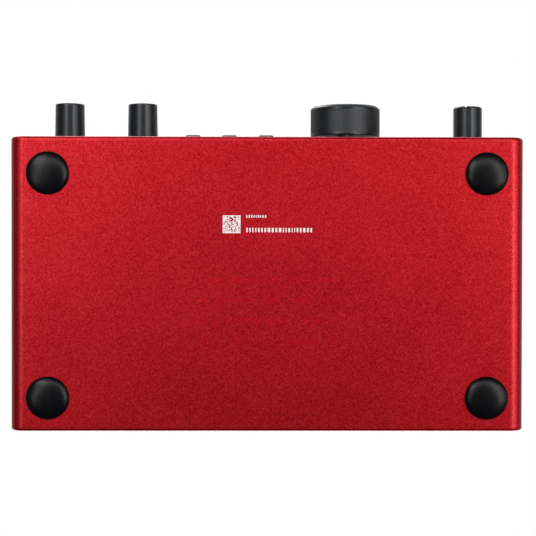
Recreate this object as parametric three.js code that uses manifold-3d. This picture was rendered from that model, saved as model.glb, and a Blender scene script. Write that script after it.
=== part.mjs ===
// A desktop audio interface: an extruded aluminium sleeve closed by a front and a rear panel, with
// the boards, sockets, controls and light rings between them, standing on four rubber feet.
// Millimetres, +Z up. The front panel faces -Y, and +X is to the right of someone facing it.
// The origin is the centre of the footprint, on the surface that the feet stand on.

import * as THREE from "three";
import { mergeVertices } from "three/addons/utils/BufferGeometryUtils.js";
import Module from "manifold-3d";

// ---------------------------------------------------------------- driving dimensions

// Overall.
const WIDTH = 180;
const DEPTH = 117.5;
const HEIGHT = 47.5;
const FOOT_HEIGHT = 2.5;
const GAIN_KNOB_REACH = 14.5; // how far the longest knobs stand out of the sleeve

// The sleeve.
const SLEEVE_FRONT = -DEPTH / 2 + GAIN_KNOB_REACH;
const SLEEVE_REAR = DEPTH / 2;
const SLEEVE_HEIGHT = HEIGHT - FOOT_HEIGHT;
const SLEEVE_MID = FOOT_HEIGHT + SLEEVE_HEIGHT / 2;
const WALL = 2;
const CORNER_RADIUS = 5;
const EDGE_BREAK = 0.4;
const BOSS_SIZE = 5.4;
const BOSS_INSET = 2.8; // from the inner walls to a screw's axis
const SCREW_THREAD_RADIUS = 1.5;
const RAIL_DEPTH = 2;
const RAIL_THICKNESS = 1.1;

// The panels, set into the two ends of the sleeve.
const FRONT_RECESS = 0.8;
const REAR_RECESS = 1.5;
const FRONT_THICKNESS = 2.5;
const REAR_THICKNESS = 2;
const PANEL_GAP = 0.15; // between a panel's edge and the sleeve
const GAP = 0.3; // between neighbouring pieces

// The boards.
const BOARD_THICKNESS = 1.6;
const BOARD_BOTTOM = 10.6; // height of the main board above the table
const FRONT_BOARD_DEPTH = 10.5; // from the front panel's face
const MAIN_BOARD_Y = [-36, 52.5];
const FRONT_BOARD = { top: 18.8, halfWidth: 85, chamferWidth: 5, chamferHeight: 8 };
const CONNECTOR = { x: -14, width: 24, depth: 6, height: 7.5 };
const PROCESSOR = { x: 38, y: 12, side: 16, height: 1.3 };
const CONVERTER = { x: -34, y: 6, side: 10, height: 1.1 };

// Rows and columns of the front panel. x from the middle, z from the middle of the sleeve.
const JACK_Z = -6.2;
const SMALL_KNOB_Z = 10.5;
const GAIN_X = [-73.3, -46.2];
const HEADPHONE_X = 75;
const OUTPUT_X = 28.5;
const BUTTON_X = [-26.5, -13.5, -0.5];
const BUTTON_Z = [6, -9.5];
const WINDOW_RISE = 4.9; // from a button's middle to the indicator above it
const WINDOW = { width: 3.6, height: 0.9, corner: 0.3, play: 0.15 };
const GUIDE = { bar: 2, thickness: 1.2, left: 8.5, right: 2.5 }; // bars behind the windows
const TONGUE = { x: [-58, 52], width: 14, thickness: 1.2, end: 9 };

// Knobs and shafts.
const SHAFT_RADIUS = 3;
const SHAFT_BORE = 3.1;
const SHAFT_CLEARANCE = 1.1; // between the bore's radius and the panel's hole
const SHAFT_END = 7.5; // behind the front panel's face
const KNOB_END_WALL = 3;
const NOTCH = { width: 0.9, depth: 0.6, start: 0.45 }; // start is a share of the tip's radius
const CONTROL_CASE = { start: 4.2, small: 11, large: 16 };
const GAIN_KNOB = { base: 5.56, tip: 5.32, back: 1, reach: GAIN_KNOB_REACH, edge: 0.4 };
const HEADPHONE_KNOB = { base: 5.3, tip: 5.3, back: 1, reach: 13.75, edge: 0.7 };
const OUTPUT_KNOB = { base: 12.6, tip: 12.6, back: 2.4, reach: 12.6, edge: 0.9 };
const HEADPHONE_POINTER = 198; // degrees clockwise from the top, with the volume turned down

// Light rings.
const RING_DEPTH = 1.4;
const GAIN_RING = { inner: 6.6, outer: 8 };
const OUTPUT_RING = { inner: 14.4, outer: 16.2 };

// Buttons.
const BUTTON_SIZE = 5.3;
const BUTTON_REACH = 1.3; // in front of the sleeve
const BUTTON_TRAVEL = 0.6;
const BUTTON_CORNER = 1.2;
const BUTTON_PLAY = 0.25;
const FLANGE = { side: 7.2, thickness: 1 };
const STEM = { side: 3, end: 7.5 };
const SWITCH = { side: 6, start: 9.2, plungerRadius: 1.6 };

// Sockets.
const PLUG_BORE = 3.3;
const BUSHING_RADIUS = 4.7;
const BUSHING_PLAY = 0.2;
const JACK_BODY = { width: 15.6, height: 13, length: 26, start: 3 };
const NUT_RADIUS = 6.4;
const REAR_JACK_REACH = 1.2; // in front of the rear panel
const LINE_OUT_X = [12, -8]; // on the rear panel x runs the other way
const MIC_X = [67.5, 39];
const MIC = { flangeWidth: 26, flangeHeight: 31, corner: 2.5, face: 1.3, barrel: 11.7 };
const MIC_CAVITY = { radius: 9.6, depth: 16.5, back: 20 };
const MIC_INSERT = { radius: 7.9, start: 0.8, end: 16.2 };
const MIC_PIN = { radius: 1.35, circle: 4.6, depth: 8, degrees: [30, 150, 270] };
const MIC_SCREWS = [
  [-9.5, 12],
  [9.5, -12],
];
const LATCH = { width: 6.6, low: 10.6, high: 14.5, end: 3, play: 0.25 };
const USB_X = [-32, -50];
const USB_Z = -11.05;
const USB = { width: 9, height: 3.3, corner: 1.6, wall: 0.3, length: 7.5 };
const USB_TONGUE = { width: 6.7, thickness: 0.7, start: 1.2, end: 7 };
const LOCK_SLOT = { x: -72, width: 3, height: 7, corner: 0.6 };
const SCREW = { head: 2.4, shank: 1.35, hole: 1.6, short: 5, long: 11 };

// Feet.
const FOOT_RADIUS = 7.5;
const FOOT_FLAT = 2.6;
const FOOT_RECESS = 0.4;
const FOOT_DOME = 2; // height of the curved part
const FOOT_X = 76.7;
const FOOT_Y = [SLEEVE_FRONT + 12.85, SLEEVE_REAR - 11.7];

const ROUND_STEPS = 24;
const SMALL_ROUND_STEPS = 16;
const SCREW_STEPS = 12;
const PIN_STEPS = 8;
const DOME_STEPS = 4;
const FINE_CORNER_STEPS = 6;

// ---------------------------------------------------------------- materials

const finish = (color, roughness, metalness = 0) =>
  new THREE.MeshStandardMaterial({ color, roughness, metalness });

const RED_ANODISED = finish("#b81a26", 0.42, 1);
const GLOSS_BLACK = finish("#0d0e10", 0.18);
const SATIN_BLACK = finish("#1b1d1f", 0.5);
const KNOB_BLACK = finish("#222426", 0.45);
const RUBBER = finish("#141517", 0.7);
const DIFFUSER = finish("#d9dcd6", 0.4);
const BOARD_GREEN = finish("#12351f", 0.5);
const CHIP_BLACK = finish("#151515", 0.6);
const NICKEL = finish("#b9b9b4", 0.28, 1);
const STEEL = finish("#8f9193", 0.35, 1);
const BLACK_STEEL = finish("#1a1a1b", 0.4, 0.8);

// ---------------------------------------------------------------- solids

const wasm = await Module();
wasm.setup();

// A closed geometry as a solid that can be joined and cut.
function solidOf(geometry) {
  const bare = geometry.clone();
  bare.deleteAttribute("normal");
  bare.deleteAttribute("uv");
  const merged = mergeVertices(bare, 1e-4);
  const triVerts = new Uint32Array(merged.index.array);
  const vertProperties = merged.attributes.position.array;
  return new wasm.Manifold(new wasm.Mesh({ numProp: 3, vertProperties, triVerts }));
}

function geometryOf(solid) {
  const { vertProperties, triVerts } = solid.getMesh();
  const geometry = new THREE.BufferGeometry();
  geometry.setAttribute("position", new THREE.BufferAttribute(vertProperties.slice(), 3));
  geometry.setIndex(new THREE.BufferAttribute(triVerts.slice(), 1));
  geometry.computeVertexNormals();
  return geometry;
}

const cut = (body, ...tools) =>
  geometryOf(tools.reduce((left, tool) => left.subtract(solidOf(tool)), solidOf(body)));

const join = (body, ...others) =>
  geometryOf(others.reduce((sum, other) => sum.add(solidOf(other)), solidOf(body)));

// ---------------------------------------------------------------- shapes

// The corners of a rectangle as signs of x and z, anticlockwise from the upper right.
const CORNERS = [
  [1, 1],
  [-1, 1],
  [-1, -1],
  [1, -1],
];

// A rectangle with round corners, centred on (x, z).
function roundedRect(width, height, radius, x = 0, z = 0, cornerSteps = 2) {
  const right = width / 2 - radius;
  const top = height / 2 - radius;
  const points = [];
  CORNERS.forEach(([sideX, sideZ], quarter) => {
    for (let step = 0; step <= cornerSteps; step++) {
      const angle = ((quarter + step / cornerSteps) * Math.PI) / 2;
      const along = sideX * right + radius * Math.cos(angle);
      const up = sideZ * top + radius * Math.sin(angle);
      points.push(new THREE.Vector2(x + along, z + up));
    }
  });
  return new THREE.Shape(points);
}

// A many-sided hole that leaves room for a circle of this radius.
function roundHole(radius, x, z) {
  const reach = radius / Math.cos(Math.PI / SMALL_ROUND_STEPS);
  const points = [];
  for (let step = 0; step < SMALL_ROUND_STEPS; step++) {
    const angle = (2 * Math.PI * step) / SMALL_ROUND_STEPS;
    points.push(new THREE.Vector2(x + reach * Math.cos(angle), z + reach * Math.sin(angle)));
  }
  return new THREE.Shape(points);
}

// An outline drawn in x and z, carried along y from near to far, with its end edges broken.
function prism(outline, near, far, holes = [], edge = 0) {
  outline.holes = holes;
  const geometry = new THREE.ExtrudeGeometry(outline, {
    depth: far - near - 2 * edge,
    bevelEnabled: edge > 0,
    bevelThickness: edge,
    bevelSize: edge,
    bevelOffset: -edge,
    bevelSegments: 1,
  });
  return geometry.rotateX(Math.PI / 2).translate(0, far - edge, 0);
}

// A block between two opposite corners, given in any order.
function block([x0, y0, z0], [x1, y1, z1]) {
  const box = new THREE.BoxGeometry(Math.abs(x1 - x0), Math.abs(y1 - y0), Math.abs(z1 - z0));
  return box.translate((x0 + x1) / 2, (y0 + y1) / 2, (z0 + z1) / 2);
}

// A block with a square section, centred on (x, z), from near to far.
function squareBar(side, near, far, x = 0, z = 0) {
  const half = side / 2;
  return block([x - half, near, z - half], [x + half, far, z + half]);
}

// A rod along y from near to far, at (x, z).
function rod(radius, near, far, x = 0, z = 0, steps = SMALL_ROUND_STEPS) {
  const cylinder = new THREE.CylinderGeometry(radius, radius, far - near, steps);
  return cylinder.translate(x, (near + far) / 2, z);
}

// A profile of [radius, y] points turned about the y axis, listed so that its faces point out.
function turned(profile, steps = ROUND_STEPS) {
  return new THREE.LatheGeometry(
    profile.map(([radius, y]) => new THREE.Vector2(radius, y)),
    steps,
  );
}

// A ring about the y axis.
function ring(inner, outer, near, far, steps = ROUND_STEPS) {
  const profile = [
    [outer, near],
    [outer, far],
    [inner, far],
    [inner, near],
    [outer, near],
  ];
  return turned(profile, steps);
}

function piece(name, geometry, material, x = 0, y = 0, z = 0) {
  const mesh = new THREE.Mesh(geometry, material);
  mesh.name = name;
  mesh.position.set(x, y, z);
  return mesh;
}

// ---------------------------------------------------------------- frames

const audioInterface = new THREE.Group();

// Facing the front panel: x right, z up from the middle of the sleeve, y = 0 on the panel's face
// and rising into the box.
const front = new THREE.Group();
front.position.set(0, SLEEVE_FRONT + FRONT_RECESS, SLEEVE_MID);

// The same for someone facing the rear panel.
const rear = new THREE.Group();
rear.position.set(0, SLEEVE_REAR - REAR_RECESS, SLEEVE_MID);
rear.rotation.z = Math.PI;

audioInterface.add(front, rear);

const OPENING = { width: WIDTH - 2 * WALL, height: SLEEVE_HEIGHT - 2 * WALL };
const panelOutline = () =>
  roundedRect(
    OPENING.width - 2 * PANEL_GAP,
    OPENING.height - 2 * PANEL_GAP,
    CORNER_RADIUS - WALL - PANEL_GAP,
    0,
    0,
    FINE_CORNER_STEPS,
  );
const SCREW_X = OPENING.width / 2 - BOSS_INSET;
const SCREW_Z = OPENING.height / 2 - BOSS_INSET;

// ---------------------------------------------------------------- enclosure

// The extrusion: a rounded tube with a screw boss in each corner, board rails along the side walls
// and a shallow seat under each foot. Bosses and rails are machined back to let the panels in.
function enclosureSleeve() {
  const tube = prism(
    roundedRect(WIDTH, SLEEVE_HEIGHT, CORNER_RADIUS, 0, 0, FINE_CORNER_STEPS),
    SLEEVE_FRONT,
    SLEEVE_REAR,
    [roundedRect(OPENING.width, OPENING.height, CORNER_RADIUS - WALL, 0, 0, FINE_CORNER_STEPS)],
    EDGE_BREAK,
  );
  const near = SLEEVE_FRONT + FRONT_RECESS + FRONT_THICKNESS + GAP;
  const far = SLEEVE_REAR - REAR_RECESS - REAR_THICKNESS - GAP;
  const wallX = OPENING.width / 2 + GAP;
  const wallZ = OPENING.height / 2 + GAP;
  const slotBottom = BOARD_BOTTOM - SLEEVE_MID - GAP / 2;
  const slotTop = slotBottom + BOARD_THICKNESS + GAP;

  const inside = [];
  for (const [sideX, sideZ] of CORNERS) {
    const outer = [sideX * wallX, near, sideZ * wallZ];
    const inner = [sideX * (wallX - BOSS_SIZE), far, sideZ * (wallZ - BOSS_SIZE)];
    inside.push(block(outer, inner));
  }
  for (const side of [-1, 1]) {
    const outerX = side * wallX;
    const innerX = side * (wallX - GAP - RAIL_DEPTH);
    inside.push(block([outerX, near, slotBottom - RAIL_THICKNESS], [innerX, far, slotBottom]));
    inside.push(block([outerX, near, slotTop], [innerX, far, slotTop + RAIL_THICKNESS]));
  }

  const threads = CORNERS.map(([sideX, sideZ]) => {
    const [x, z] = [sideX * SCREW_X, sideZ * SCREW_Z];
    return rod(SCREW_THREAD_RADIUS, near - 1, far + 1, x, z, SCREW_STEPS);
  });
  const seatRadius = FOOT_RADIUS + 0.25;
  const seatTop = -SLEEVE_HEIGHT / 2 + FOOT_RECESS;
  const seats = [-FOOT_X, FOOT_X].flatMap((x) =>
    FOOT_Y.map((y) => {
      const seat = new THREE.CylinderGeometry(seatRadius, seatRadius, 2, ROUND_STEPS);
      return seat.rotateX(Math.PI / 2).translate(x, y, seatTop - 1);
    }),
  );
  return cut(join(tube, ...inside), ...threads, ...seats);
}

// A domed rubber foot with a small flat to stand on.
function foot() {
  const profile = [
    [0, 0],
    [FOOT_FLAT, 0],
  ];
  const quarter = Math.PI / 2;
  const start = Math.asin(FOOT_FLAT / FOOT_RADIUS);
  const flatLevel = 1 - Math.cos(start);
  for (let step = 1; step <= DOME_STEPS; step++) {
    const angle = start + ((quarter - start) * step) / DOME_STEPS;
    const rise = (1 - Math.cos(angle) - flatLevel) / (1 - flatLevel);
    profile.push([FOOT_RADIUS * Math.sin(angle), FOOT_DOME * rise]);
  }
  const top = FOOT_HEIGHT + FOOT_RECESS - 0.1;
  profile.push([FOOT_RADIUS, top], [0, top]);
  return turned(profile).rotateX(Math.PI / 2);
}

audioInterface.add(piece("enclosure_sleeve", enclosureSleeve(), RED_ANODISED, 0, 0, SLEEVE_MID));
["front", "rear"].forEach((along, row) => {
  ["left", "right"].forEach((across, column) => {
    const name = `foot_${along}_${across}`;
    audioInterface.add(piece(name, foot(), RUBBER, (2 * column - 1) * FOOT_X, FOOT_Y[row], 0));
  });
});

// ---------------------------------------------------------------- front panel

const smallKnobs = [
  { name: "gain", number: "_1", x: GAIN_X[0], z: SMALL_KNOB_Z, knob: GAIN_KNOB },
  { name: "gain", number: "_2", x: GAIN_X[1], z: SMALL_KNOB_Z, knob: GAIN_KNOB },
];
const controls = [
  ...smallKnobs,
  { name: "output", number: "", x: OUTPUT_X, z: 0, knob: OUTPUT_KNOB },
  { name: "headphone", number: "", x: HEADPHONE_X, z: SMALL_KNOB_Z, knob: HEADPHONE_KNOB },
];
const frontJacks = [
  { name: "input_jack", number: "_1", x: GAIN_X[0] },
  { name: "input_jack", number: "_2", x: GAIN_X[1] },
  { name: "headphone_jack", number: "", x: HEADPHONE_X },
];
const buttons = BUTTON_Z.flatMap((z, row) =>
  BUTTON_X.map((x, column) => ({ name: `button_${3 * row + column + 1}`, x, z })),
);

// The face plate, with four tongues behind it that grip the sleeve's top and bottom.
function frontPanel() {
  const keyHole = BUTTON_SIZE + 2 * BUTTON_PLAY;
  const holes = [
    ...controls.map(({ x, z }) => roundHole(SHAFT_BORE + SHAFT_CLEARANCE, x, z)),
    ...frontJacks.map(({ x }) => roundHole(BUSHING_RADIUS + BUSHING_PLAY, x, JACK_Z)),
    ...buttons.map(({ x, z }) => roundedRect(keyHole, keyHole, BUTTON_CORNER + 0.2, x, z)),
    ...buttons.map(({ x, z }) => indicatorWindow(WINDOW.play, x, z)),
  ];
  const plate = prism(panelOutline(), 0, FRONT_THICKNESS, holes);
  const grooves = [
    ...smallKnobs.map(({ x, z }) => groove(GAIN_RING).translate(x, 0, z)),
    groove(OUTPUT_RING).translate(OUTPUT_X, 0, 0),
  ];
  const tongueEdge = OPENING.height / 2 - PANEL_GAP;
  const tongues = TONGUE.x.flatMap((x) =>
    [-1, 1].map((side) =>
      block(
        [x - TONGUE.width / 2, FRONT_THICKNESS - GAP, side * tongueEdge],
        [x + TONGUE.width / 2, TONGUE.end, side * (tongueEdge - TONGUE.thickness)],
      ),
    ),
  );
  return cut(join(plate, ...tongues), ...grooves);
}

const groove = ({ inner, outer }) => ring(inner - 0.1, outer + 0.1, -1, RING_DEPTH + 0.1);

// The outline of the window above a button at (x, z), larger by the play all round.
const indicatorWindow = (play, x, z) =>
  roundedRect(
    WINDOW.width + 2 * play,
    WINDOW.height + 2 * play,
    WINDOW.corner + play,
    x,
    z + WINDOW_RISE,
    1,
  );

// One moulding that carries light to the six indicator windows above the buttons.
function lightGuide() {
  const near = FRONT_THICKNESS + GAP;
  const far = near + GUIDE.thickness;
  const left = BUTTON_X[0] - GUIDE.left;
  const right = BUTTON_X[2] + GUIDE.right;
  const [high, low] = BUTTON_Z.map((z) => z + WINDOW_RISE);
  const half = GUIDE.bar / 2;
  const bars = [high, low].map((z) => block([left, near, z - half], [right, far, z + half]));
  const spine = block([left, near, low - half], [left + GUIDE.bar, far, high + half]);
  const posts = buttons.map(({ x, z }) => prism(indicatorWindow(0, x, z), 0.05, near + 0.3));
  return join(spine, ...bars, ...posts);
}

front.add(piece("front_panel", frontPanel(), GLOSS_BLACK));
front.add(piece("indicator_light_guide", lightGuide(), DIFFUSER));
for (const { number, x, z } of smallKnobs) {
  const halo = ring(GAIN_RING.inner, GAIN_RING.outer, 0, RING_DEPTH);
  front.add(piece(`gain_light_ring${number}`, halo, DIFFUSER, x, 0, z));
}
const outputHalo = ring(OUTPUT_RING.inner, OUTPUT_RING.outer, 0, RING_DEPTH);
front.add(piece("output_light_ring", outputHalo, DIFFUSER, OUTPUT_X, 0, 0));

// ---------------------------------------------------------------- knobs and their shafts

// A knob with a blind bore for its shaft.
function knob({ base, tip, back, reach, edge }, pointer) {
  const end = -(reach + FRONT_RECESS);
  const boreEnd = end + KNOB_END_WALL;
  const body = turned([
    [0, end],
    [tip - edge, end],
    [tip, end + edge],
    [base, -back],
    [SHAFT_BORE, -back],
    [SHAFT_BORE, boreEnd],
    [0, boreEnd],
  ]);
  if (pointer === null) return body;
  const half = NOTCH.width / 2;
  const low = [-half, end - 1, tip * NOTCH.start];
  const high = [half, end + NOTCH.depth, tip + 1];
  return cut(body, block(low, high).rotateY((pointer * Math.PI) / 180));
}

// A shaft, from inside the knob to inside the part that it turns.
function shaft({ reach }) {
  const knobEnd = -(reach + FRONT_RECESS) + KNOB_END_WALL;
  return rod(SHAFT_RADIUS, knobEnd + 0.4, SHAFT_END);
}

// A rotary encoder or potentiometer: a square case with a round neck that guides the shaft.
function turningBody(width) {
  const { start } = CONTROL_CASE;
  const case_ = squareBar(width, start, FRONT_BOARD_DEPTH - 0.2);
  const neck = rod(SHAFT_BORE + 0.8, 0.3, start + 0.2);
  return cut(join(case_, neck), rod(SHAFT_BORE, -1, SHAFT_END + 0.5));
}

for (const { name, number, x, z, knob: sizes } of controls) {
  const turnsFreely = name === "gain";
  const pointer = { gain: null, output: 0, headphone: HEADPHONE_POINTER }[name];
  const bodyName = `${name}_${turnsFreely ? "encoder" : "potentiometer"}${number}`;
  const bodyWidth = name === "output" ? CONTROL_CASE.large : CONTROL_CASE.small;
  front.add(
    piece(`${name}_knob${number}`, knob(sizes, pointer), KNOB_BLACK, x, 0, z),
    piece(`${name}_shaft${number}`, shaft(sizes), STEEL, x, 0, z),
    piece(bodyName, turningBody(bodyWidth), SATIN_BLACK, x, 0, z),
  );
}

// ---------------------------------------------------------------- buttons

// A key with a flange that keeps it behind the panel and a stem that presses its switch.
function button() {
  const face = -(BUTTON_REACH + FRONT_RECESS);
  const flangeStart = FRONT_THICKNESS + GAP;
  const flangeEnd = flangeStart + FLANGE.thickness;
  const outline = roundedRect(BUTTON_SIZE, BUTTON_SIZE, BUTTON_CORNER);
  return join(
    prism(outline, face, flangeStart + 0.2, [], 0.25),
    squareBar(FLANGE.side, flangeStart, flangeEnd),
    squareBar(STEM.side, flangeEnd - 0.2, STEM.end),
  );
}

for (const { name, x, z } of buttons) front.add(piece(name, button(), RUBBER, x, 0, z));

// ---------------------------------------------------------------- sockets for 6.35 mm plugs

// The case sits on the main board. A threaded bushing passes through the panel.
function jack(reach) {
  const { width, height, length, start } = JACK_BODY;
  const back = start + length;
  const body = block([-width / 2, start, -height / 2], [width / 2, back, height / 2]);
  const bushing = rod(BUSHING_RADIUS, -reach, start + 0.2);
  return cut(join(body, bushing), rod(PLUG_BORE, -reach - 1, back - 1));
}

function nut(reach) {
  const profile = [BUSHING_RADIUS + 0.15, NUT_RADIUS, -reach, -0.05];
  return ring(...profile, SMALL_ROUND_STEPS);
}

for (const { name, number, x } of frontJacks) {
  front.add(
    piece(`${name}${number}`, jack(FRONT_RECESS), SATIN_BLACK, x, 0, JACK_Z),
    piece(`${name}_nut${number}`, nut(FRONT_RECESS), NICKEL, x, 0, JACK_Z),
  );
}
["left", "right"].forEach((side, i) => {
  const x = LINE_OUT_X[i];
  rear.add(
    piece(`line_out_jack_${side}`, jack(REAR_JACK_REACH), SATIN_BLACK, x, 0, JACK_Z),
    piece(`line_out_nut_${side}`, nut(REAR_JACK_REACH), NICKEL, x, 0, JACK_Z),
  );
});

// ---------------------------------------------------------------- rear panel

const usbOutline = (grow, x = 0, z = 0) =>
  roundedRect(USB.width + 2 * grow, USB.height + 2 * grow, USB.corner + grow, x, z);

function rearPanel() {
  const holes = [
    ...LINE_OUT_X.map((x) => roundHole(BUSHING_RADIUS + BUSHING_PLAY, x, JACK_Z)),
    ...USB_X.map((x) => usbOutline(GAP, x, USB_Z)),
    ...CORNERS.map(([sideX, sideZ]) => roundHole(SCREW.hole, sideX * SCREW_X, sideZ * SCREW_Z)),
    ...MIC_X.flatMap((x) => MIC_SCREWS.map(([dx, dz]) => roundHole(SCREW.hole, x + dx, dz))),
    roundedRect(LOCK_SLOT.width, LOCK_SLOT.height, LOCK_SLOT.corner, LOCK_SLOT.x, 0),
  ];
  const plate = prism(panelOutline(), 0, REAR_THICKNESS, holes);
  const halfSlot = LATCH.width / 2 + 0.4;
  const windows = MIC_X.flatMap((x) => [
    rod(MIC.barrel + GAP, -1, REAR_THICKNESS + 1, x, 0, ROUND_STEPS),
    block([x - halfSlot, -1, LATCH.low - 0.6], [x + halfSlot, REAR_THICKNESS + 1, LATCH.high + 0.5]),
  ]);
  return cut(plate, ...windows);
}

// A countersunk screw, along y, with its head level with y = 0.
const countersunkScrew = () =>
  turned(
    [
      [0, 0],
      [SCREW.head, 0],
      [SCREW.shank, SCREW.head - SCREW.shank],
      [SCREW.shank, SCREW.short],
      [0, SCREW.short],
    ],
    SCREW_STEPS,
  );

// A pan-head screw, with its head standing on y = 0.
const panScrew = () =>
  turned(
    [
      [0, -1.2],
      [SCREW.head - 0.7, -1.2],
      [SCREW.head, -0.6],
      [SCREW.head, 0],
      [SCREW.shank, 0],
      [SCREW.shank, SCREW.long],
      [0, SCREW.long],
    ],
    SCREW_STEPS,
  );

rear.add(piece("rear_panel", rearPanel(), SATIN_BLACK));
CORNERS.forEach(([sideX, sideZ], i) => {
  const name = `rear_panel_screw_${i + 1}`;
  rear.add(piece(name, panScrew(), BLACK_STEEL, sideX * SCREW_X, -0.05, sideZ * SCREW_Z));
});

// ---------------------------------------------------------------- microphone sockets

// A flange on the panel and a barrel through it, with an open cavity for the plug and a slot for
// the latch at the top.
function micSocket() {
  const { flangeWidth, flangeHeight, corner, face, barrel } = MIC;
  const flange = prism(roundedRect(flangeWidth, flangeHeight, corner), -face, -0.1);
  const countersinks = MIC_SCREWS.map(([x, z]) => {
    const cone = new THREE.CylinderGeometry(SCREW.shank + 0.15, SCREW.head + 0.4, face, SCREW_STEPS);
    return cone.translate(x, -face / 2, z);
  });
  const halfSlot = LATCH.width / 2 + LATCH.play;
  return cut(
    join(flange, rod(barrel, -0.2, MIC_CAVITY.back, 0, 0, ROUND_STEPS)),
    rod(MIC_CAVITY.radius, -2, MIC_CAVITY.depth, 0, 0, ROUND_STEPS),
    block([-halfSlot, -2, LATCH.low - 2], [halfSlot, LATCH.end + 2, LATCH.high + LATCH.play]),
    ...countersinks,
  );
}

// The contact carrier, with three holes for the plug's pins.
function micInsert() {
  const { radius, start, end } = MIC_INSERT;
  const holes = MIC_PIN.degrees.map((degrees) => {
    const angle = (degrees * Math.PI) / 180;
    const x = MIC_PIN.circle * Math.cos(angle);
    const z = MIC_PIN.circle * Math.sin(angle);
    return rod(MIC_PIN.radius, -1, start + MIC_PIN.depth, x, z, PIN_STEPS);
  });
  return cut(rod(radius, start, end), ...holes);
}

const micLatch = () =>
  block([-LATCH.width / 2, -MIC.face, LATCH.low], [LATCH.width / 2, LATCH.end, LATCH.high]);

MIC_X.forEach((x, i) => {
  const number = i + 1;
  rear.add(
    piece(`mic_socket_${number}`, micSocket(), BLACK_STEEL, x),
    piece(`mic_insert_${number}`, micInsert(), SATIN_BLACK, x),
    piece(`mic_latch_${number}`, micLatch(), NICKEL, x),
  );
  MIC_SCREWS.forEach(([dx, dz], j) => {
    const name = `mic_socket_screw_${2 * i + j + 1}`;
    rear.add(piece(name, countersunkScrew(), BLACK_STEEL, x + dx, -MIC.face, dz));
  });
});

// ---------------------------------------------------------------- USB ports

// A drawn steel shell with the contact tongue inside it.
function usbPort() {
  const shell = prism(usbOutline(0), -0.1, USB.length);
  const inside = prism(usbOutline(-USB.wall), -1, USB.length - 0.7);
  const halfWidth = USB_TONGUE.width / 2;
  const halfThickness = USB_TONGUE.thickness / 2;
  const low = [-halfWidth, USB_TONGUE.start, -halfThickness];
  const high = [halfWidth, USB_TONGUE.end, halfThickness];
  return join(cut(shell, inside), block(low, high));
}

["data", "power"].forEach((role, i) => {
  rear.add(piece(`usb_${role}_port`, usbPort(), STEEL, USB_X[i], 0, USB_Z));
});

// ---------------------------------------------------------------- boards

const BOARD_TOP = BOARD_BOTTOM + BOARD_THICKNESS;

function mainBoard() {
  const halfWidth = OPENING.width / 2 - 0.4;
  const [front, back] = MAIN_BOARD_Y;
  return block([-halfWidth, front, BOARD_BOTTOM], [halfWidth, back, BOARD_TOP]);
}

// The upright board behind the front panel, cut away round the sockets, with the six switches
// that the buttons press soldered to it.
function frontBoard() {
  const bottom = BOARD_TOP + 0.8 - SLEEVE_MID;
  const { top, halfWidth, chamferWidth, chamferHeight } = FRONT_BOARD;
  const jackTop = JACK_Z + JACK_BODY.height / 2 + 0.5;
  const besideJack = JACK_BODY.width / 2 + 0.6;
  const legLeft = GAIN_X[1] + besideJack;
  const legRight = HEADPHONE_X - besideJack;
  const outline = new THREE.Shape(
    [
      [legLeft, bottom],
      [legRight, bottom],
      [legRight, jackTop],
      [halfWidth, jackTop],
      [halfWidth, top - chamferHeight],
      [halfWidth - chamferWidth, top],
      [chamferWidth - halfWidth, top],
      [-halfWidth, top - chamferHeight],
      [-halfWidth, jackTop],
      [legLeft, jackTop],
    ].map(([x, z]) => new THREE.Vector2(x, z)),
  );
  const board = prism(outline, FRONT_BOARD_DEPTH, FRONT_BOARD_DEPTH + BOARD_THICKNESS);
  const plungerStart = STEM.end + BUTTON_TRAVEL + 0.1;
  const { side, start, plungerRadius } = SWITCH;
  const switches = buttons.flatMap(({ x, z }) => [
    squareBar(side, start, FRONT_BOARD_DEPTH + 0.2, x, z),
    rod(plungerRadius, plungerStart, start + 0.2, x, z, SCREW_STEPS),
  ]);
  return join(board, ...switches);
}

// A chip with a square outline, standing on its origin.
const chip = ({ side, height }) => block([-side / 2, -side / 2, 0], [side / 2, side / 2, height]);

function boardConnector() {
  const { width, depth, height } = CONNECTOR;
  return block([-width / 2, 0, 0], [width / 2, depth, height]);
}

const onBoard = BOARD_TOP + 0.1;
const connectorY = SLEEVE_FRONT + FRONT_RECESS + FRONT_BOARD_DEPTH + BOARD_THICKNESS + GAP;
front.add(piece("front_board", frontBoard(), BOARD_GREEN));
audioInterface.add(
  piece("main_board", mainBoard(), BOARD_GREEN),
  piece("board_connector", boardConnector(), CHIP_BLACK, CONNECTOR.x, connectorY, onBoard),
  piece("usb_processor", chip(PROCESSOR), CHIP_BLACK, PROCESSOR.x, PROCESSOR.y, onBoard),
  piece("audio_converter", chip(CONVERTER), CHIP_BLACK, CONVERTER.x, CONVERTER.y, onBoard),
);

export default audioInterface;
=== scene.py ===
# %% [markdown]
# # A desktop audio interface, from the sleeve to the last screw
#
# The object is a red anodised aluminium sleeve with a black panel in each end. Knobs, buttons and
# sockets sit in the panels, and four rubber domes carry it. The frame that is loaded here already
# holds every part at its real size and place, in metres. What follows gives the parts that show
# their finished surfaces and their materials, and nothing is moved or resized.

# %% Load the frame
import math

import bpy
import numpy as np
from mathutils import Matrix, Vector


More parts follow.
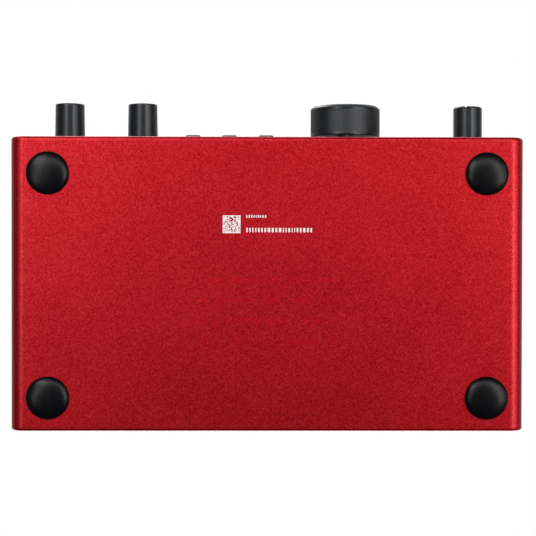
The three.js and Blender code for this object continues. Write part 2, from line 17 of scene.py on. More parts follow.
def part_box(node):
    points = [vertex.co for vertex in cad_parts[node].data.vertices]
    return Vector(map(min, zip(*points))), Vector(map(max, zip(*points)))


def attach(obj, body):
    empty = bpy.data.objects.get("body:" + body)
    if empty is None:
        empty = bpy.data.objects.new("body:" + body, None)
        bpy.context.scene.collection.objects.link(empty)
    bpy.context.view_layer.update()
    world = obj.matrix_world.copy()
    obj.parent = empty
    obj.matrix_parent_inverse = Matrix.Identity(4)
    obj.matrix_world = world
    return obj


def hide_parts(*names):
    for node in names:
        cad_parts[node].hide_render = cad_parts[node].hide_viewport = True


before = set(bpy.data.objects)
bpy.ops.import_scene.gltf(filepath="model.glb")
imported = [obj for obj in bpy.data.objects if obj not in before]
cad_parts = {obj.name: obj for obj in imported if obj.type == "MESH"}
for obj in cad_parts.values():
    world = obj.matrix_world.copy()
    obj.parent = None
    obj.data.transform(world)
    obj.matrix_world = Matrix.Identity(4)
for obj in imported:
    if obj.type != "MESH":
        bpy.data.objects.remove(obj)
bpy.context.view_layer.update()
MM = 0.001

# %% [markdown]
# ## Where things are
#
# Every place and size comes from the boxes of the parts themselves. Two sites are used again and
# again: the face of the front panel and the face of the rear panel. On each, a piece is drawn in
# its own coordinates (across, up, depth into the box) and then set in place. On the rear panel,
# across runs the other way, as it does for a person who walks round the object.

# %% Boxes, centres and the two sites
class Box:
    """The box of a part, with its middle and its size."""

    def __init__(self, node):
        low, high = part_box(node)
        self.low, self.high = np.array(low), np.array(high)
        self.middle = (self.low + self.high) / 2
        self.size = self.high - self.low


sleeve = Box("enclosure_sleeve")
FRONT_FACE = Box("front_panel").low[1]
REAR_FACE = Box("rear_panel").high[1]
UNDERSIDE = sleeve.low[2]


def on_front(node):
    """Local (across, up, depth) to the room, at the front panel, about a part's own axis."""
    middle = Box(node).middle
    return lambda p: np.stack(
        [middle[0] + p[..., 0], FRONT_FACE + p[..., 2], middle[2] + p[..., 1]], -1
    )


def on_rear(node):
    """The same at the rear panel: across and depth both run backwards."""
    middle = Box(node).middle
    return lambda p: np.stack(
        [middle[0] - p[..., 0], REAR_FACE - p[..., 2], middle[2] + p[..., 1]], -1
    )


def reach_in_front(node):
    """How far a part stands out of the front panel's face, and how far it goes in."""
    box = Box(node)
    return FRONT_FACE - box.low[1], box.high[1] - FRONT_FACE


print("sleeve, mm:", np.round(sleeve.size / MM, 1))

# %% [markdown]
# ## Surfaces from rings
#
# Nearly every piece here is turned, drawn or moulded, so one idea makes them all: a profile is
# carried round an outline. The profile says how far inside the outline each ring lies and how deep
# it sits, and its corners are filleted, because no real edge is perfectly sharp and a fillet is
# what catches the light. The outline is a circle for turned parts and a rectangle with round
# corners for the rest. Both give the same number of points, so a ring can change from one to the
# other.

# %% Filleted profiles
def filleted(corners, closed=False, steps=5):
    """A polyline of (inset, depth, radius) corners with each corner replaced by an arc.

    The arc touches both sides at radius / tan(half the corner's angle) from the corner, and its
    centre is on the bisector, at radius / sin(half the angle)."""
    points = np.array([corner[:2] for corner in corners], float)
    made = []
    for i, (_, _, radius) in enumerate(corners):
        here = points[i]
        if radius == 0:
            made.append(here[None])
            continue
        back = points[i - 1] - here
        on = points[(i + 1) % len(points)] - here
        back, on = back / np.linalg.norm(back), on / np.linalg.norm(on)
        half = np.arccos(np.clip(back @ on, -1, 1)) / 2
        centre = here + (back + on) / np.linalg.norm(back + on) * radius / np.sin(half)
        start = here + back * radius / np.tan(half) - centre
        end = here + on * radius / np.tan(half) - centre
        first = np.arctan2(start[1], start[0])
        sweep = (np.arctan2(end[1], end[0]) - first + np.pi) % (2 * np.pi) - np.pi
        angles = first + sweep * np.linspace(0, 1, steps + 1)
        made.append(centre + radius * np.stack([np.cos(angles), np.sin(angles)], -1))
    profile = np.concatenate(made)
    return np.concatenate([profile, profile[:1]]) if closed else profile


def with_guards(profile, reach):
    """Adds a point close to each end of every long straight, so that shading stays flat on it."""
    lengths = np.linalg.norm(np.diff(profile, axis=0), axis=1)
    made = []
    for point, after, length in zip(profile[:-1], profile[1:], lengths):
        made.append(point)
        if length > 3 * reach:
            made += [point + (after - point) * reach / length]
            made += [after - (after - point) * reach / length]
    return np.array(made + [profile[-1]])


def divided(profile, longest, before=np.inf):
    """Adds even points on each straight longer than `longest`, at depths less than `before`."""
    made = []
    for point, after in zip(profile[:-1], profile[1:]):
        parts = int(np.ceil(np.linalg.norm(after - point) / longest))
        parts = parts if min(point[1], after[1]) < before else 1
        made.append(np.linspace(point, after, max(parts, 1) + 1)[:-1])
    return np.concatenate(made + [profile[-1:]])


square = [(0, 0, 1), (10, 0, 1), (10, 10, 1), (0, 10, 1)]
print("a square with filleted corners has", len(filleted(square, closed=True)), "points")


# %% Outlines
def circle(radii, count, start=0.0):
    """Points round circles, one circle for each radius: radius times (cos, sin)."""
    angles = start + 2 * np.pi * np.arange(count) / count
    unit = np.stack([np.cos(angles), np.sin(angles)], -1)
    return np.asarray(radii)[:, None, None] * unit


def circle_for(radii, corner, side):
    """Circles with as many points as a rounded rectangle, turned so that a corner's middle point
    and the circle's point at 45 degrees are the same one."""
    count = 4 * (corner + 1 + side)
    return circle(radii, count, np.pi / 4 - corner / 2 * 2 * np.pi / count)


def rounded_rectangle(half_width, half_height, radius, insets, corner=8, side=5):
    """Rectangles with round corners, each moved inwards by its inset.

    A corner is an arc about (half width - radius, half height - radius) whose radius shrinks with
    the inset. Along the sides the points crowd towards the corners: they follow
    (1 - cos(pi t)) / 2."""
    insets = np.asarray(insets)[:, None]
    turn = np.pi / 2
    arc = np.linspace(0, turn, corner + 1)
    left_over = np.maximum(radius - insets, 0.05 * MM)
    centre_x = half_width - insets - left_over
    centre_y = half_height - insets - left_over
    signs = [(1, 1), (-1, 1), (-1, -1), (1, -1)]
    arcs = [
        np.stack(
            [
                sx * centre_x + left_over * np.cos(arc + q * turn),
                sy * centre_y + left_over * np.sin(arc + q * turn),
            ],
            -1,
        )
        for q, (sx, sy) in enumerate(signs)
    ]
    t = ((1 - np.cos(np.pi * np.linspace(0, 1, side + 2))) / 2)[1:-1, None]
    made = []
    for q, points in enumerate(arcs):
        start, end = points[:, -1:], arcs[(q + 1) % 4][:, :1]
        made += [points, start + (end - start) * t]
    return np.concatenate(made, 1)


def rings(outline, depths):
    """Outlines of shape (rings, points, 2) with a depth for each ring."""
    depth = np.broadcast_to(np.asarray(depths)[:, None, None], outline.shape[:2] + (1,))
    return np.concatenate([outline, depth], -1)


print("a rounded rectangle has", rounded_rectangle(5, 5, 1, [0]).shape[1], "points round it")


# %% Skins
def skin(grid, wrap=False):
    """Rings of points as a closed skin of (points, quads, triangles).

    Point j of ring i is joined to point j + 1 and to ring i + 1. With wrap, the last ring joins
    the first. Otherwise a point in the middle of each end ring closes it with a fan."""
    rows, count = grid.shape[:2]
    index = np.arange(rows * count).reshape(rows, count)
    points = grid.reshape(-1, 3)
    following = np.roll(index, -1, 1)
    if wrap:
        below, below_next = np.roll(index, -1, 0), np.roll(following, -1, 0)
        quads = np.stack([index, following, below_next, below], -1).reshape(-1, 4)
        return outward(points, quads, np.empty((0, 3), int))
    quads = np.stack([index[:-1], following[:-1], following[1:], index[1:]], -1).reshape(-1, 4)
    ends = np.stack([grid[0].mean(0), grid[-1].mean(0)])
    first, last = len(points), len(points) + 1
    fans = [
        np.stack([np.full(count, first), following[0], index[0]], -1),
        np.stack([np.full(count, last), index[-1], following[-1]], -1),
    ]
    return outward(np.concatenate([points, ends]), quads, np.concatenate(fans))


def outward(points, quads, triangles):
    """Turns the faces round if the volume, the sum of a . (b x c) / 6 over them, is negative."""
    fans = np.concatenate([quads[:, :3], quads[:, [0, 2, 3]], triangles])
    a, b, c = (points[fans[:, i]] for i in range(3))
    if np.einsum("ij,ij->i", a, np.cross(b, c)).sum() < 0:
        quads, triangles = quads[:, ::-1], triangles[:, ::-1]
    return points, quads, triangles


def boxes(lows, highs):
    """One closed six-faced box for each pair of corners, as one skin."""
    corner = np.array([[0, 0, 0], [1, 0, 0], [1, 1, 0], [0, 1, 0]])
    corner = np.concatenate([corner, corner + [0, 0, 1]])
    faces = np.array(
        [[0, 3, 2, 1], [4, 5, 6, 7], [0, 1, 5, 4], [1, 2, 6, 5], [2, 3, 7, 6], [3, 0, 4, 7]]
    )
    lows, highs = np.asarray(lows, float), np.asarray(highs, float)
    points = lows[:, None] + corner * (highs - lows)[:, None]
    quads = faces + 8 * np.arange(len(lows))[:, None, None]
    return points.reshape(-1, 3), quads.reshape(-1, 4), np.empty((0, 3), int)


print("a box has", len(boxes([[0, 0, 0]], [[1, 1, 1]])[1]), "faces")


# %% From skins to pieces
CREASE = 32  # degrees between two faces, past which their shared edge is shown sharp


def make_piece(name, parts, body, stands_for=()):
    """One object from (skin, material) parts, riding on a body, smooth but for its creases."""
    points, faces, material_of, materials, start = [], [], [], [], 0
    for (part_points, quads, triangles), material in parts:
        if material not in materials:
            materials.append(material)
        points.append(part_points)
        faces += (quads + start).tolist() + (triangles + start).tolist()
        material_of += [materials.index(material)] * (len(quads) + len(triangles))
        start += len(part_points)
    mesh = bpy.data.meshes.new(name)
    mesh.from_pydata(np.concatenate(points), [], faces)
    for material in materials:
        mesh.materials.append(material)
    mesh.polygons.foreach_set("material_index", material_of)
    mesh.polygons.foreach_set("use_smooth", np.ones(len(faces), bool))
    mesh.update()
    mesh.set_sharp_from_angle(angle=math.radians(CREASE))
    made = bpy.data.objects.new(name, mesh)
    bpy.context.scene.collection.objects.link(made)
    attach(made, body)
    if stands_for:
        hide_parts(*stands_for)
    print(f"{name}: {len(faces)} faces")
    return made


def cut(made, *tools):
    """Takes closed skins away from a finished piece, which leaves its object in place."""
    cutter = bpy.data.meshes.new("cutter")
    points = np.concatenate([tool[0] for tool in tools])
    faces, start = [], 0
    for tool_points, quads, triangles in tools:
        faces += (quads + start).tolist() + (triangles + start).tolist()
        start += len(tool_points)
    cutter.from_pydata(points, [], faces)
    holder = bpy.data.objects.new("cutter", cutter)
    bpy.context.scene.collection.objects.link(holder)
    change = made.modifiers.new("cut", "BOOLEAN")
    change.operation, change.solver, change.object = "DIFFERENCE", "EXACT", holder
    graph = bpy.context.evaluated_depsgraph_get()
    finished = bpy.data.meshes.new_from_object(made.evaluated_get(graph))
    made.modifiers.clear()
    made.data = finished
    finished.set_sharp_from_angle(angle=math.radians(CREASE))
    bpy.data.objects.remove(holder)
    return made


def turned(profile, place, count=96):
    """A profile of (radius, depth) points turned about the depth axis."""
    return skin(place(rings(circle(profile[:, 0], count), profile[:, 1])))


def turned_ring(profile, place, count=96):
    """The same for a profile that closes on itself."""
    return skin(place(rings(circle(profile[:-1, 0], count), profile[:-1, 1])), wrap=True)


print("edges sharper than", CREASE, "degrees stay sharp")


# %% [markdown]
# ## Material maths as plain expressions
#
# A procedural material is a formula over the surface. Written node by node it is hard to read, so
# a small class wraps a socket: `a * b + 1` then adds the Math nodes by itself. Everything else,
# noise and mixes and the shader, comes from one method that takes a node's type, its settings and
# its inputs.

# %% A wrapped socket
class Value:
    """A number that varies over the surface. Arithmetic on it adds Math nodes."""

    def __init__(self, finish, socket):
        self.finish, self.socket = finish, socket

    def math(self, operation, *others, clamp=False):
        node = self.finish.node(
            "ShaderNodeMath", {"operation": operation, "use_clamp": clamp}, [self, *others]
        )
        return Value(self.finish, node.outputs[0])

    def reflected(self, operation, other):
        node = self.finish.node("ShaderNodeMath", {"operation": operation}, [other, self])
        return Value(self.finish, node.outputs[0])

    def __add__(self, other):
        return self.math("ADD", other)

    def __sub__(self, other):
        return self.math("SUBTRACT", other)

    def __rsub__(self, other):
        return self.reflected("SUBTRACT", other)

    def __mul__(self, other):
        return self.math("MULTIPLY", other)

    def __truediv__(self, other):
        return self.math("DIVIDE", other)

    def __lt__(self, other):
        return self.math("LESS_THAN", other)

    def __gt__(self, other):
        return self.math("GREATER_THAN", other)

    def __abs__(self):
        return self.math("ABSOLUTE")

    __radd__, __rmul__ = __add__, __mul__

    def clamped(self):
        """The value kept between 0 and 1."""
        return self.math("ADD", 0.0, clamp=True)

    def cell(self):
        """The whole part, for telling cells of a pattern apart."""
        return self.math("FLOOR")

    def fraction(self):
        return self.math("FRACT")

    def step(self, start, end):
        """0 below start, 1 above end, and a smooth rise between them."""
        node = self.finish.node(
            "ShaderNodeMapRange",
            {"interpolation_type": "SMOOTHSTEP"},
            {"Value": self, "From Min": start, "From Max": end},
        )
        return Value(self.finish, node.outputs["Result"])


able = [name for name, what in vars(Value).items() if callable(what) and name != "__init__"]
print("a value can do:", ", ".join(able))


# %% A finish is a material being written
class Finish:
    """A material with one Principled shader, and the helpers that write its formula."""

    def __init__(self, name, **constants):
        self.material = bpy.data.materials.new(name)
        self.material.use_nodes = True
        self.tree = self.material.node_tree
        self.shader = self.tree.nodes["Principled BSDF"]
        for socket, value in constants.items():
            title = socket.replace("_", " ").title().replace("Ior", "IOR")
            self.shader.inputs[title].default_value = value
        coordinates = self.node("ShaderNodeTexCoord")
        self.place = coordinates.outputs["Object"]
        axes = self.node("ShaderNodeSeparateXYZ", {}, [self.place])
        self.x, self.y, self.z = (Value(self, axes.outputs[i]) for i in range(3))

    def node(self, kind, settings=None, inputs=()):
        """Any node: its type, its settings first, and then its inputs by name or by number."""
        made = self.tree.nodes.new(kind)
        for name, value in (settings or {}).items():
            setattr(made, name, value)
        pairs = inputs.items() if isinstance(inputs, dict) else enumerate(inputs)
        for key, value in pairs:
            self.feed(made.inputs[key], value)
        return made

    def feed(self, socket, value):
        """Links a value or a socket to this socket, or sets it to a plain number or colour."""
        if isinstance(value, Value):
            value = value.socket
        if isinstance(value, bpy.types.NodeSocket):
            self.tree.links.new(value, socket)
        else:
            socket.default_value = value

    def noise(self, size, detail=2.0, roughness=0.5, stretch=(1, 1, 1)):
        """Smooth noise whose lumps are about this size in metres, from 0 to 1."""
        mapping = self.node("ShaderNodeMapping", {}, {"Vector": self.place, "Scale": stretch})
        made = self.node(
            "ShaderNodeTexNoise",
            {},
            {
                "Vector": mapping.outputs[0],
                "Scale": 1 / size,
                "Detail": detail,
                "Roughness": roughness,
            },
        )
        return Value(self, made.outputs[0])

    def cells(self, size, feature="F1"):
        """Distance to the nearest of many scattered points about this far apart."""
        made = self.node(
            "ShaderNodeTexVoronoi",
            {"feature": feature},
            {"Vector": self.place, "Scale": 1 / size},
        )
        return Value(self, made.outputs[0])

    def mix(self, factor, first, second):
        """One colour turning into another as the factor goes from 0 to 1."""
        made = self.node("ShaderNodeMix", {"data_type": "RGBA"}, {"Factor": factor})
        self.feed(made.inputs[6], first)
        self.feed(made.inputs[7], second)
        return made.outputs[2]

    def bump(self, *layers):
        """Bumps laid over each other, each a (height, depth in metres, strength) triple."""
        normal = None
        for height, distance, strength in layers:
            made = self.node(
                "ShaderNodeBump", {}, {"Height": height, "Distance": distance, "Strength": strength}
            )
            if normal is not None:
                self.feed(made.inputs["Normal"], normal)
            normal = made.outputs[0]
        self.feed(self.shader.inputs["Normal"], normal)

    def set(self, **sockets):
        """Feeds what varies to the shader, and hands over the finished material."""
        for name, value in sockets.items():
            self.feed(self.shader.inputs[name.replace("_", " ").title()], value)
        print(f"{self.material.name}: {len(self.tree.nodes)} nodes")
        return self.material


def paint(hexadecimal):
    """A colour written as on a paint chip, turned into the shader's linear values."""
    channels = np.array([int(hexadecimal[i : i + 2], 16) for i in (0, 2, 4)]) / 255
    linear = np.where(channels <= 0.04045, channels / 12.92, ((channels + 0.055) / 1.055) ** 2.4)
    return (*linear, 1.0)


print("mid grey on a paint chip is", round(paint("808080")[0], 3), "to the shader")

# %% [markdown]
# ## Red anodised aluminium
#
# The sleeve is blasted with fine beads before it is dyed, which leaves tiny dents of about half a
# millimetre that glint one by one. A plain red plastic with a sparkle texture would look flat,
# because the dye sits in a clear oxide layer and the colour comes from the metal's own reflection:
# so the shader is fully metallic with a red base. The oxide's own surface reflects a little white
# light, so a thin coat lies over the red, and the dents decide how much of it shows. The glints are
# also painted into the colour: a grain of dents and cells lightens the red in small spots.

# %% Faint rows of marks
ROW_PITCH, DASH_PITCH = 7.1 * MM, 2.1 * MM
MARKS_MIDDLE = (0.0, sleeve.low[1] + 0.59 * sleeve.size[1])
MARKS_HALF = (0.135 * sleeve.size[0], 2 * ROW_PITCH)
SOFT_EDGE = 0.2 * MM


def faint_rows(finish):
    """Faint dashes in four rows on the underside, as where marks were etched in the same colour.

    Rows repeat along y and dashes along x. Each row is shifted by 0.37 of a dash against the one
    before. A dash is there if the noise of its own row and column is above 0.35, and it fills 0.8
    of its pitch. Nothing shows outside the block or on any face but the lowest."""
    row, column = (finish.y - MARKS_MIDDLE[1]) / ROW_PITCH, finish.x / DASH_PITCH
    shifted = column + row.cell() * 0.37
    cell = finish.node(
        "ShaderNodeCombineXYZ", {}, [shifted.cell() * 0.731, row.cell() * 0.417, 0.0]
    )
    chance = finish.node(
        "ShaderNodeTexWhiteNoise", {"noise_dimensions": "3D"}, {"Vector": cell.outputs[0]}
    )
    present = Value(finish, chance.outputs[0]) > 0.35
    stroke = abs(row.fraction() - 0.5).step(0.16, 0.09) * (shifted.fraction() < 0.8)
    across = abs(finish.x - MARKS_MIDDLE[0]).step(MARKS_HALF[0], MARKS_HALF[0] - SOFT_EDGE)
    along = abs(finish.y - MARKS_MIDDLE[1]).step(MARKS_HALF[1], MARKS_HALF[1] - SOFT_EDGE)
    below = finish.z < UNDERSIDE + 0.5 * MM
    return present * stroke * across * along * below


print("block of marks, mm:", [round(2 * half / MM, 1) for half in MARKS_HALF])

# %% The anodised finish
def anodised_red():
    """Dents, cells and clouds add up to a grain with painted glints, which picks the red and the
    coat.
    """
    finish = Finish("red_anodised_aluminium", metallic=1.0, coat_roughness=0.3)
    dents = finish.noise(0.55 * MM, detail=3, roughness=0.7)
    # cells that paint glints into the red, and that also serve as a bump
    painted_glint_cells = finish.cells(0.6 * MM)
    clouds = finish.noise(28 * MM, detail=2)
    # random tone plus painted glints: this grain lightens the base red in small spots
    grain_and_painted_glints = (dents * 2.0 + painted_glint_cells * 0.5 + clouds * 0.25 - 0.98).clamped()
    color = finish.mix(grain_and_painted_glints, paint("a00614"), paint("d82630"))
    color = finish.mix(faint_rows(finish) * 0.35, color, paint("d60a1e"))
    finish.bump((dents, 0.05 * MM, 0.35), (painted_glint_cells, 0.03 * MM, 0.2))
    return finish.set(
        base_color=color,
        roughness=0.40 + dents * 0.16 + clouds * 0.05,
        coat_weight=0.1 + grain_and_painted_glints * 0.5,
    )


red_anodised = anodised_red()

# %% [markdown]
# ## The sleeve
#
# The real one is sawn from an extrusion. It could be a box with a bevel and a solidify modifier,
# but the two ends have breaks of different widths, so it is one outline, a rectangle with 5 mm
# corners, with the wall as its profile: out at the front, along to the rear, in by the wall's
# thickness and back again. The rounded breaks turn away from the lamps below and show as a thin
# dark line along each end.

# %% Carry the wall's profile round the outline
WALL = 2 * MM
CORNER = 5 * MM
FRONT_BREAK, REAR_BREAK, INNER_BREAK = 1.25 * MM, 0.95 * MM, 0.25 * MM


def sleeve_skin():
    """The wall's closed profile of (inset, y) corners, carried round the sleeve's outline."""
    near, far = sleeve.low[1], sleeve.high[1]
    corners = [(0, near, FRONT_BREAK), (0, far, REAR_BREAK)]
    corners += [(WALL, far, INNER_BREAK), (WALL, near, INNER_BREAK)]
    profile = with_guards(filleted(corners, closed=True, steps=6), 0.4 * MM)[:-1]
    half_width, half_height = sleeve.size[0] / 2, sleeve.size[2] / 2
    outline = rounded_rectangle(
        half_width, half_height, CORNER, profile[:, 0], corner=20, side=12
    )
    local = rings(outline, profile[:, 1])
    middle = sleeve.middle
    placed = np.stack(
        [middle[0] + local[..., 0], local[..., 2], middle[2] + local[..., 1]], -1
    )
    return skin(placed, wrap=True)


shell = [(sleeve_skin(), red_anodised)]
make_piece("sleeve_shell", shell, "housing", ["enclosure_sleeve"])

# %% [markdown]
# ## Black plastics and rubber
#
# Black parts are told apart only by their gloss and grain. One black for all would be quicker, but
# the parts would run into each other, so each gets its own: the feet are smooth moulded rubber with
# a faint bloom, the knobs have a soft satin coat with a fine grain, and the buttons are a warmer
# grey.

# %% Rubber, knob and button finishes
def foot_rubber():
    """The bloom lightens the rubber and dulls it a little."""
    finish = Finish("foot_rubber", specular_ior_level=0.2)
    bloom = finish.noise(2.6 * MM, detail=4)
    grain = finish.noise(0.16 * MM, detail=2)
    color = finish.mix(bloom, paint("060708"), paint("0c0d10"))
    finish.bump((grain, 0.02 * MM, 0.2))
    return finish.set(base_color=color, roughness=0.27 + bloom * 0.10)


def knob_satin():
    """Grain and wear share the colour, and each adds its part to the roughness."""
    finish = Finish("knob_satin", specular_ior_level=0.4)
    grain = finish.noise(0.13 * MM, detail=3)
    wear = finish.noise(5 * MM, detail=3)
    color = finish.mix(grain * 0.5 + wear * 0.5, paint("15171a"), paint("222529"))
    finish.bump((grain, 0.015 * MM, 0.3))
    return finish.set(base_color=color, roughness=0.23 + grain * 0.10 + wear * 0.06)


def button_rubber():
    """Warm grey, paler where fingers rest, with a fine grain that dulls it."""
    finish = Finish("button_rubber")
    grain = finish.noise(0.2 * MM, detail=2)
    finger = finish.noise(3 * MM, detail=2)
    color = finish.mix(finger, paint("3a3230"), paint("4b403d"))
    finish.bump((grain, 0.02 * MM, 0.3))
    return finish.set(base_color=color, roughness=0.5 + grain * 0.15)


rubber, satin, key_rubber = foot_rubber(), knob_satin(), button_rubber()

# %% [markdown]
# ## Feet
#
# The feet are moulded rubber domes stuck to the underside. A flattened sphere would be near, but it
# has no sole. So the dome is turned about a vertical axis from a profile close to a quarter of an
# ellipse, almost flat at the middle where it stands.

# %% Turn the four domes
def foot_skin(node):
    """A dome whose height falls from the rim as 1 - sqrt(1 - (r / R) ** 2.3)."""
    box = Box(node)
    radius, height = box.size[0] / 2, UNDERSIDE - box.low[2]
    radii = radius * np.sin(np.linspace(0.02, math.pi / 2, 30))
    rise = 1 - np.sqrt(np.maximum(1 - (radii / radius) ** 2.3, 0))
    dome = np.stack([radii, (height - 0.25 * MM) * rise], -1)
    top = height + 0.3 * MM
    profile = np.concatenate([dome, [[radius, top]], [[0.02 * MM, top]]])
    middle = box.middle
    return turned(
        profile,
        lambda p: np.stack(
            [middle[0] + p[..., 0], middle[1] + p[..., 1], box.low[2] + p[..., 2]], -1
        ),
    )


for node in [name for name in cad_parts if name.startswith("foot_")]:
    make_piece(f"{node}_dome", [(foot_skin(node), rubber)], "housing", [node])

# %% [markdown]
# ## The slim knobs
#
# A gain knob is a plain satin barrel that narrows slightly towards its softly rounded tip. The
# headphone knob is straight, with a chamfer and an indicator notch. The notch could be cut with a
# Boolean, but then its edges would be sharp and need a bevel. Instead, on the finely divided turned
# surface, points near its line are pushed in, and the groove's edges come out soft.

# %% Barrels
SHAFT = 3.1 * MM  # radius of the hole in a knob


def barrel_profile(tip, base, reach, back, edge, tip_fillet):
    """From the middle of the tip, over its edge, down the side and up into the bore.

    `edge` is the chamfer's width, and 0 leaves a plain rounded edge."""
    corners = [(0.05 * MM, -reach + 0.12 * MM, 0), (0.6 * tip, -reach, 0.8 * MM)]
    if edge:
        corners += [(tip - edge, -reach, tip_fillet), (tip, -reach + edge, tip_fillet)]
    else:
        corners += [(tip, -reach, tip_fillet)]
    corners += [(base, -back, 0.2 * MM), (SHAFT + 0.4 * MM, -back, 0.15 * MM)]
    corners += [(SHAFT, -reach + 3 * MM, 0), (0.05 * MM, -reach + 3 * MM, 0)]
    return with_guards(filleted(corners), 0.3 * MM)


def gain_knob(number):
    """A barrel whose radius at the tip is 0.957 of that at its base."""
    node = f"gain_knob_{number}"
    radius = Box(node).size[0] / 2
    reach, depth = reach_in_front(node)
    profile = barrel_profile(0.957 * radius, radius, reach, -depth, 0, 0.55 * MM)
    grid = on_front(node)(rings(circle(profile[:, 0], 128), profile[:, 1]))
    return make_piece(
        f"gain_cap_{number}", [(skin(grid), satin)], f"gain_{number}", [node]
    )


for number in (1, 2):
    gain_knob(number)

# %% The headphone knob and its notch
POINTER = math.radians(198)  # clockwise from the top, turned right down


def notch(grid, direction, half_width, depth, inner, tip_depth, length):
    """Presses a groove into a turned grid of (across, up, depth) points.

    Along the direction (sin, cos), points nearer to the line than half_width move: those on the
    tip face go deeper, and all of them near the tip go towards the axis."""
    toward = np.array([math.sin(direction), math.cos(direction)])
    aside = np.array([toward[1], -toward[0]])
    along, off = grid[..., :2] @ toward, grid[..., :2] @ aside
    in_line = np.clip(1.6 - np.abs(off) / half_width * 1.6, 0, 1)
    in_line *= np.clip((along - inner) / (0.3 * MM), 0, 1)
    push = depth * in_line * np.clip((tip_depth + length - grid[..., 2]) / (0.3 * MM), 0, 1)
    on_face = np.clip((tip_depth + 0.6 * MM - grid[..., 2]) / (0.3 * MM), 0, 1)
    moved = grid.copy()
    moved[..., 2] += push * on_face
    moved[..., :2] -= 0.8 * (push * (1 - 0.8 * on_face))[..., None] * toward
    return moved


def headphone_knob():
    """A straight barrel, divided finely near its tip, with the groove pressed in."""
    node = "headphone_knob"
    radius = Box(node).size[0] / 2
    reach, depth = reach_in_front(node)
    profile = barrel_profile(radius, radius, reach, -depth, 0.55 * MM, 0.12 * MM)
    fine = divided(profile, 0.22 * MM, before=-reach + 2 * MM)
    local = rings(circle(fine[:, 0], 240), fine[:, 1])
    local = notch(local, POINTER, 0.45 * MM, 0.5 * MM, 0.35 * radius, -reach, 1.1 * MM)
    grid = on_front(node)(local)
    return make_piece("headphone_cap", [(skin(grid), satin)], "headphone", [node])


headphone_knob()

# %% [markdown]
# ## The knurled output knob
#
# The wide knob is cut with a diamond knurl: two sets of fine helical grooves that cross. A bump
# texture could stand in for it, but the outline of the knob would stay smooth, so the grooves are
# real. On the grid this is a formula for the radius. One set of grooves is where n angle + k depth
# is a whole turn, the other where n angle - k depth is, and the radius drops by the deeper of the
# two. In front of the knurl is a smooth rounded shoulder, and behind it a plain band.

# %% Cut the knurl
KNURL_TEETH = 144
KNURL_DEPTH = 0.10 * MM


def knurled(local, radius, start, end):
    """Cuts crossing grooves into the side of a turned grid, fading out at start and end.

    Each set is the absolute sine of half of (teeth times angle, plus or minus depth's phase). The
    radius drops by the groove's depth times 1 - (the smaller of the two) ** 0.7."""
    around = np.arctan2(local[..., 1], local[..., 0])
    depth = local[..., 2]
    pitch = 2 * np.pi * radius / KNURL_TEETH
    along = 2 * np.pi * depth / (1.5 * pitch)
    ridge_one = np.abs(np.sin((KNURL_TEETH * around + along) / 2))
    ridge_two = np.abs(np.sin((KNURL_TEETH * around - along) / 2))
    cut = 1 - np.minimum(ridge_one, ridge_two) ** 0.7
    fade = np.clip((depth - start) / (0.3 * MM), 0, 1) * np.clip((end - depth) / (0.3 * MM), 0, 1)
    here = np.hypot(local[..., 0], local[..., 1])
    on_side = here > radius - 0.05 * MM
    scale = 1 - KNURL_DEPTH * cut * fade * on_side / np.maximum(here, MM)
    moved = local.copy()
    moved[..., :2] *= scale[..., None]
    return moved


print("teeth round the knurl:", KNURL_TEETH)

# %% The white print
def screen_print():
    """White ink with a fine speckle, which dulls it."""
    finish = Finish("white_print")
    speckle = finish.noise(0.12 * MM, detail=3)
    color = finish.mix(speckle, paint("e6e0df"), paint("f6f3f2"))
    return finish.set(base_color=color, roughness=0.5 + speckle * 0.2)


print_white = screen_print()

# %% Turn the wide knob
DISH = 0.35 * MM  # how far the face lies behind the rim
SIDE_ROWS = 80


def output_knob():
    """A dished face, a rim, a chamfer and a knurled side, with a white pointer in the dish."""
    node = "output_knob"
    radius = Box(node).size[0] / 2
    reach, depth = reach_in_front(node)
    back = -depth
    knurl_start, knurl_end = -reach + 1.5 * MM, -back - 0.8 * MM
    corners = [
        (0.05 * MM, -reach + DISH, 0),
        (radius - 2.6 * MM, -reach + DISH, 0.3 * MM),
        (radius - 2.1 * MM, -reach, 0.25 * MM),
        (radius - 1.15 * MM, -reach, 0.35 * MM),
        (radius, -reach + 0.95 * MM, 0.35 * MM),
        (radius, -back, 0.3 * MM),
        (SHAFT + 0.4 * MM, -back, 0.15 * MM),
        (SHAFT, -reach + 3 * MM, 0),
        (0.05 * MM, -reach + 3 * MM, 0),
    ]
    profile = filleted(corners)
    side = np.argmax(np.abs(np.diff(profile[:, 1])) * (profile[:-1, 0] > radius - 0.01 * MM))
    filler = np.linspace(profile[side], profile[side + 1], SIDE_ROWS)[1:-1]
    profile = np.concatenate([profile[: side + 1], filler, profile[side + 1 :]])
    local = rings(circle(profile[:, 0], 5 * KNURL_TEETH), profile[:, 1])
    local = knurled(local, radius, knurl_start, knurl_end)
    grid = on_front(node)(local)
    pointer_low = [-0.45 * MM, 0.55 * radius, -reach + 0.31 * MM]
    pointer_high = [0.45 * MM, radius - 2.9 * MM, -reach + 0.38 * MM]
    mark, quads, triangles = boxes([pointer_low], [pointer_high])
    pointer = outward(on_front(node)(mark), quads, triangles)
    parts = [(skin(grid), satin), (pointer, print_white)]
    return make_piece("output_cap", parts, "output", [node])


output_knob()

# %% [markdown]
# ## Push buttons
#
# Six small square keys of moulded rubber stand out of the panel, and each is pressed on its own. A
# cube with a bevel would do for the outline, but the face is very slightly hollow for the finger,
# so they use rings again: a large fillet at the face, which then sinks towards its middle.

# %% Mould the keys
KEY_HALF, KEY_BACK, KEY_CORNER = 2.65 * MM, 3 * MM, 1.2 * MM


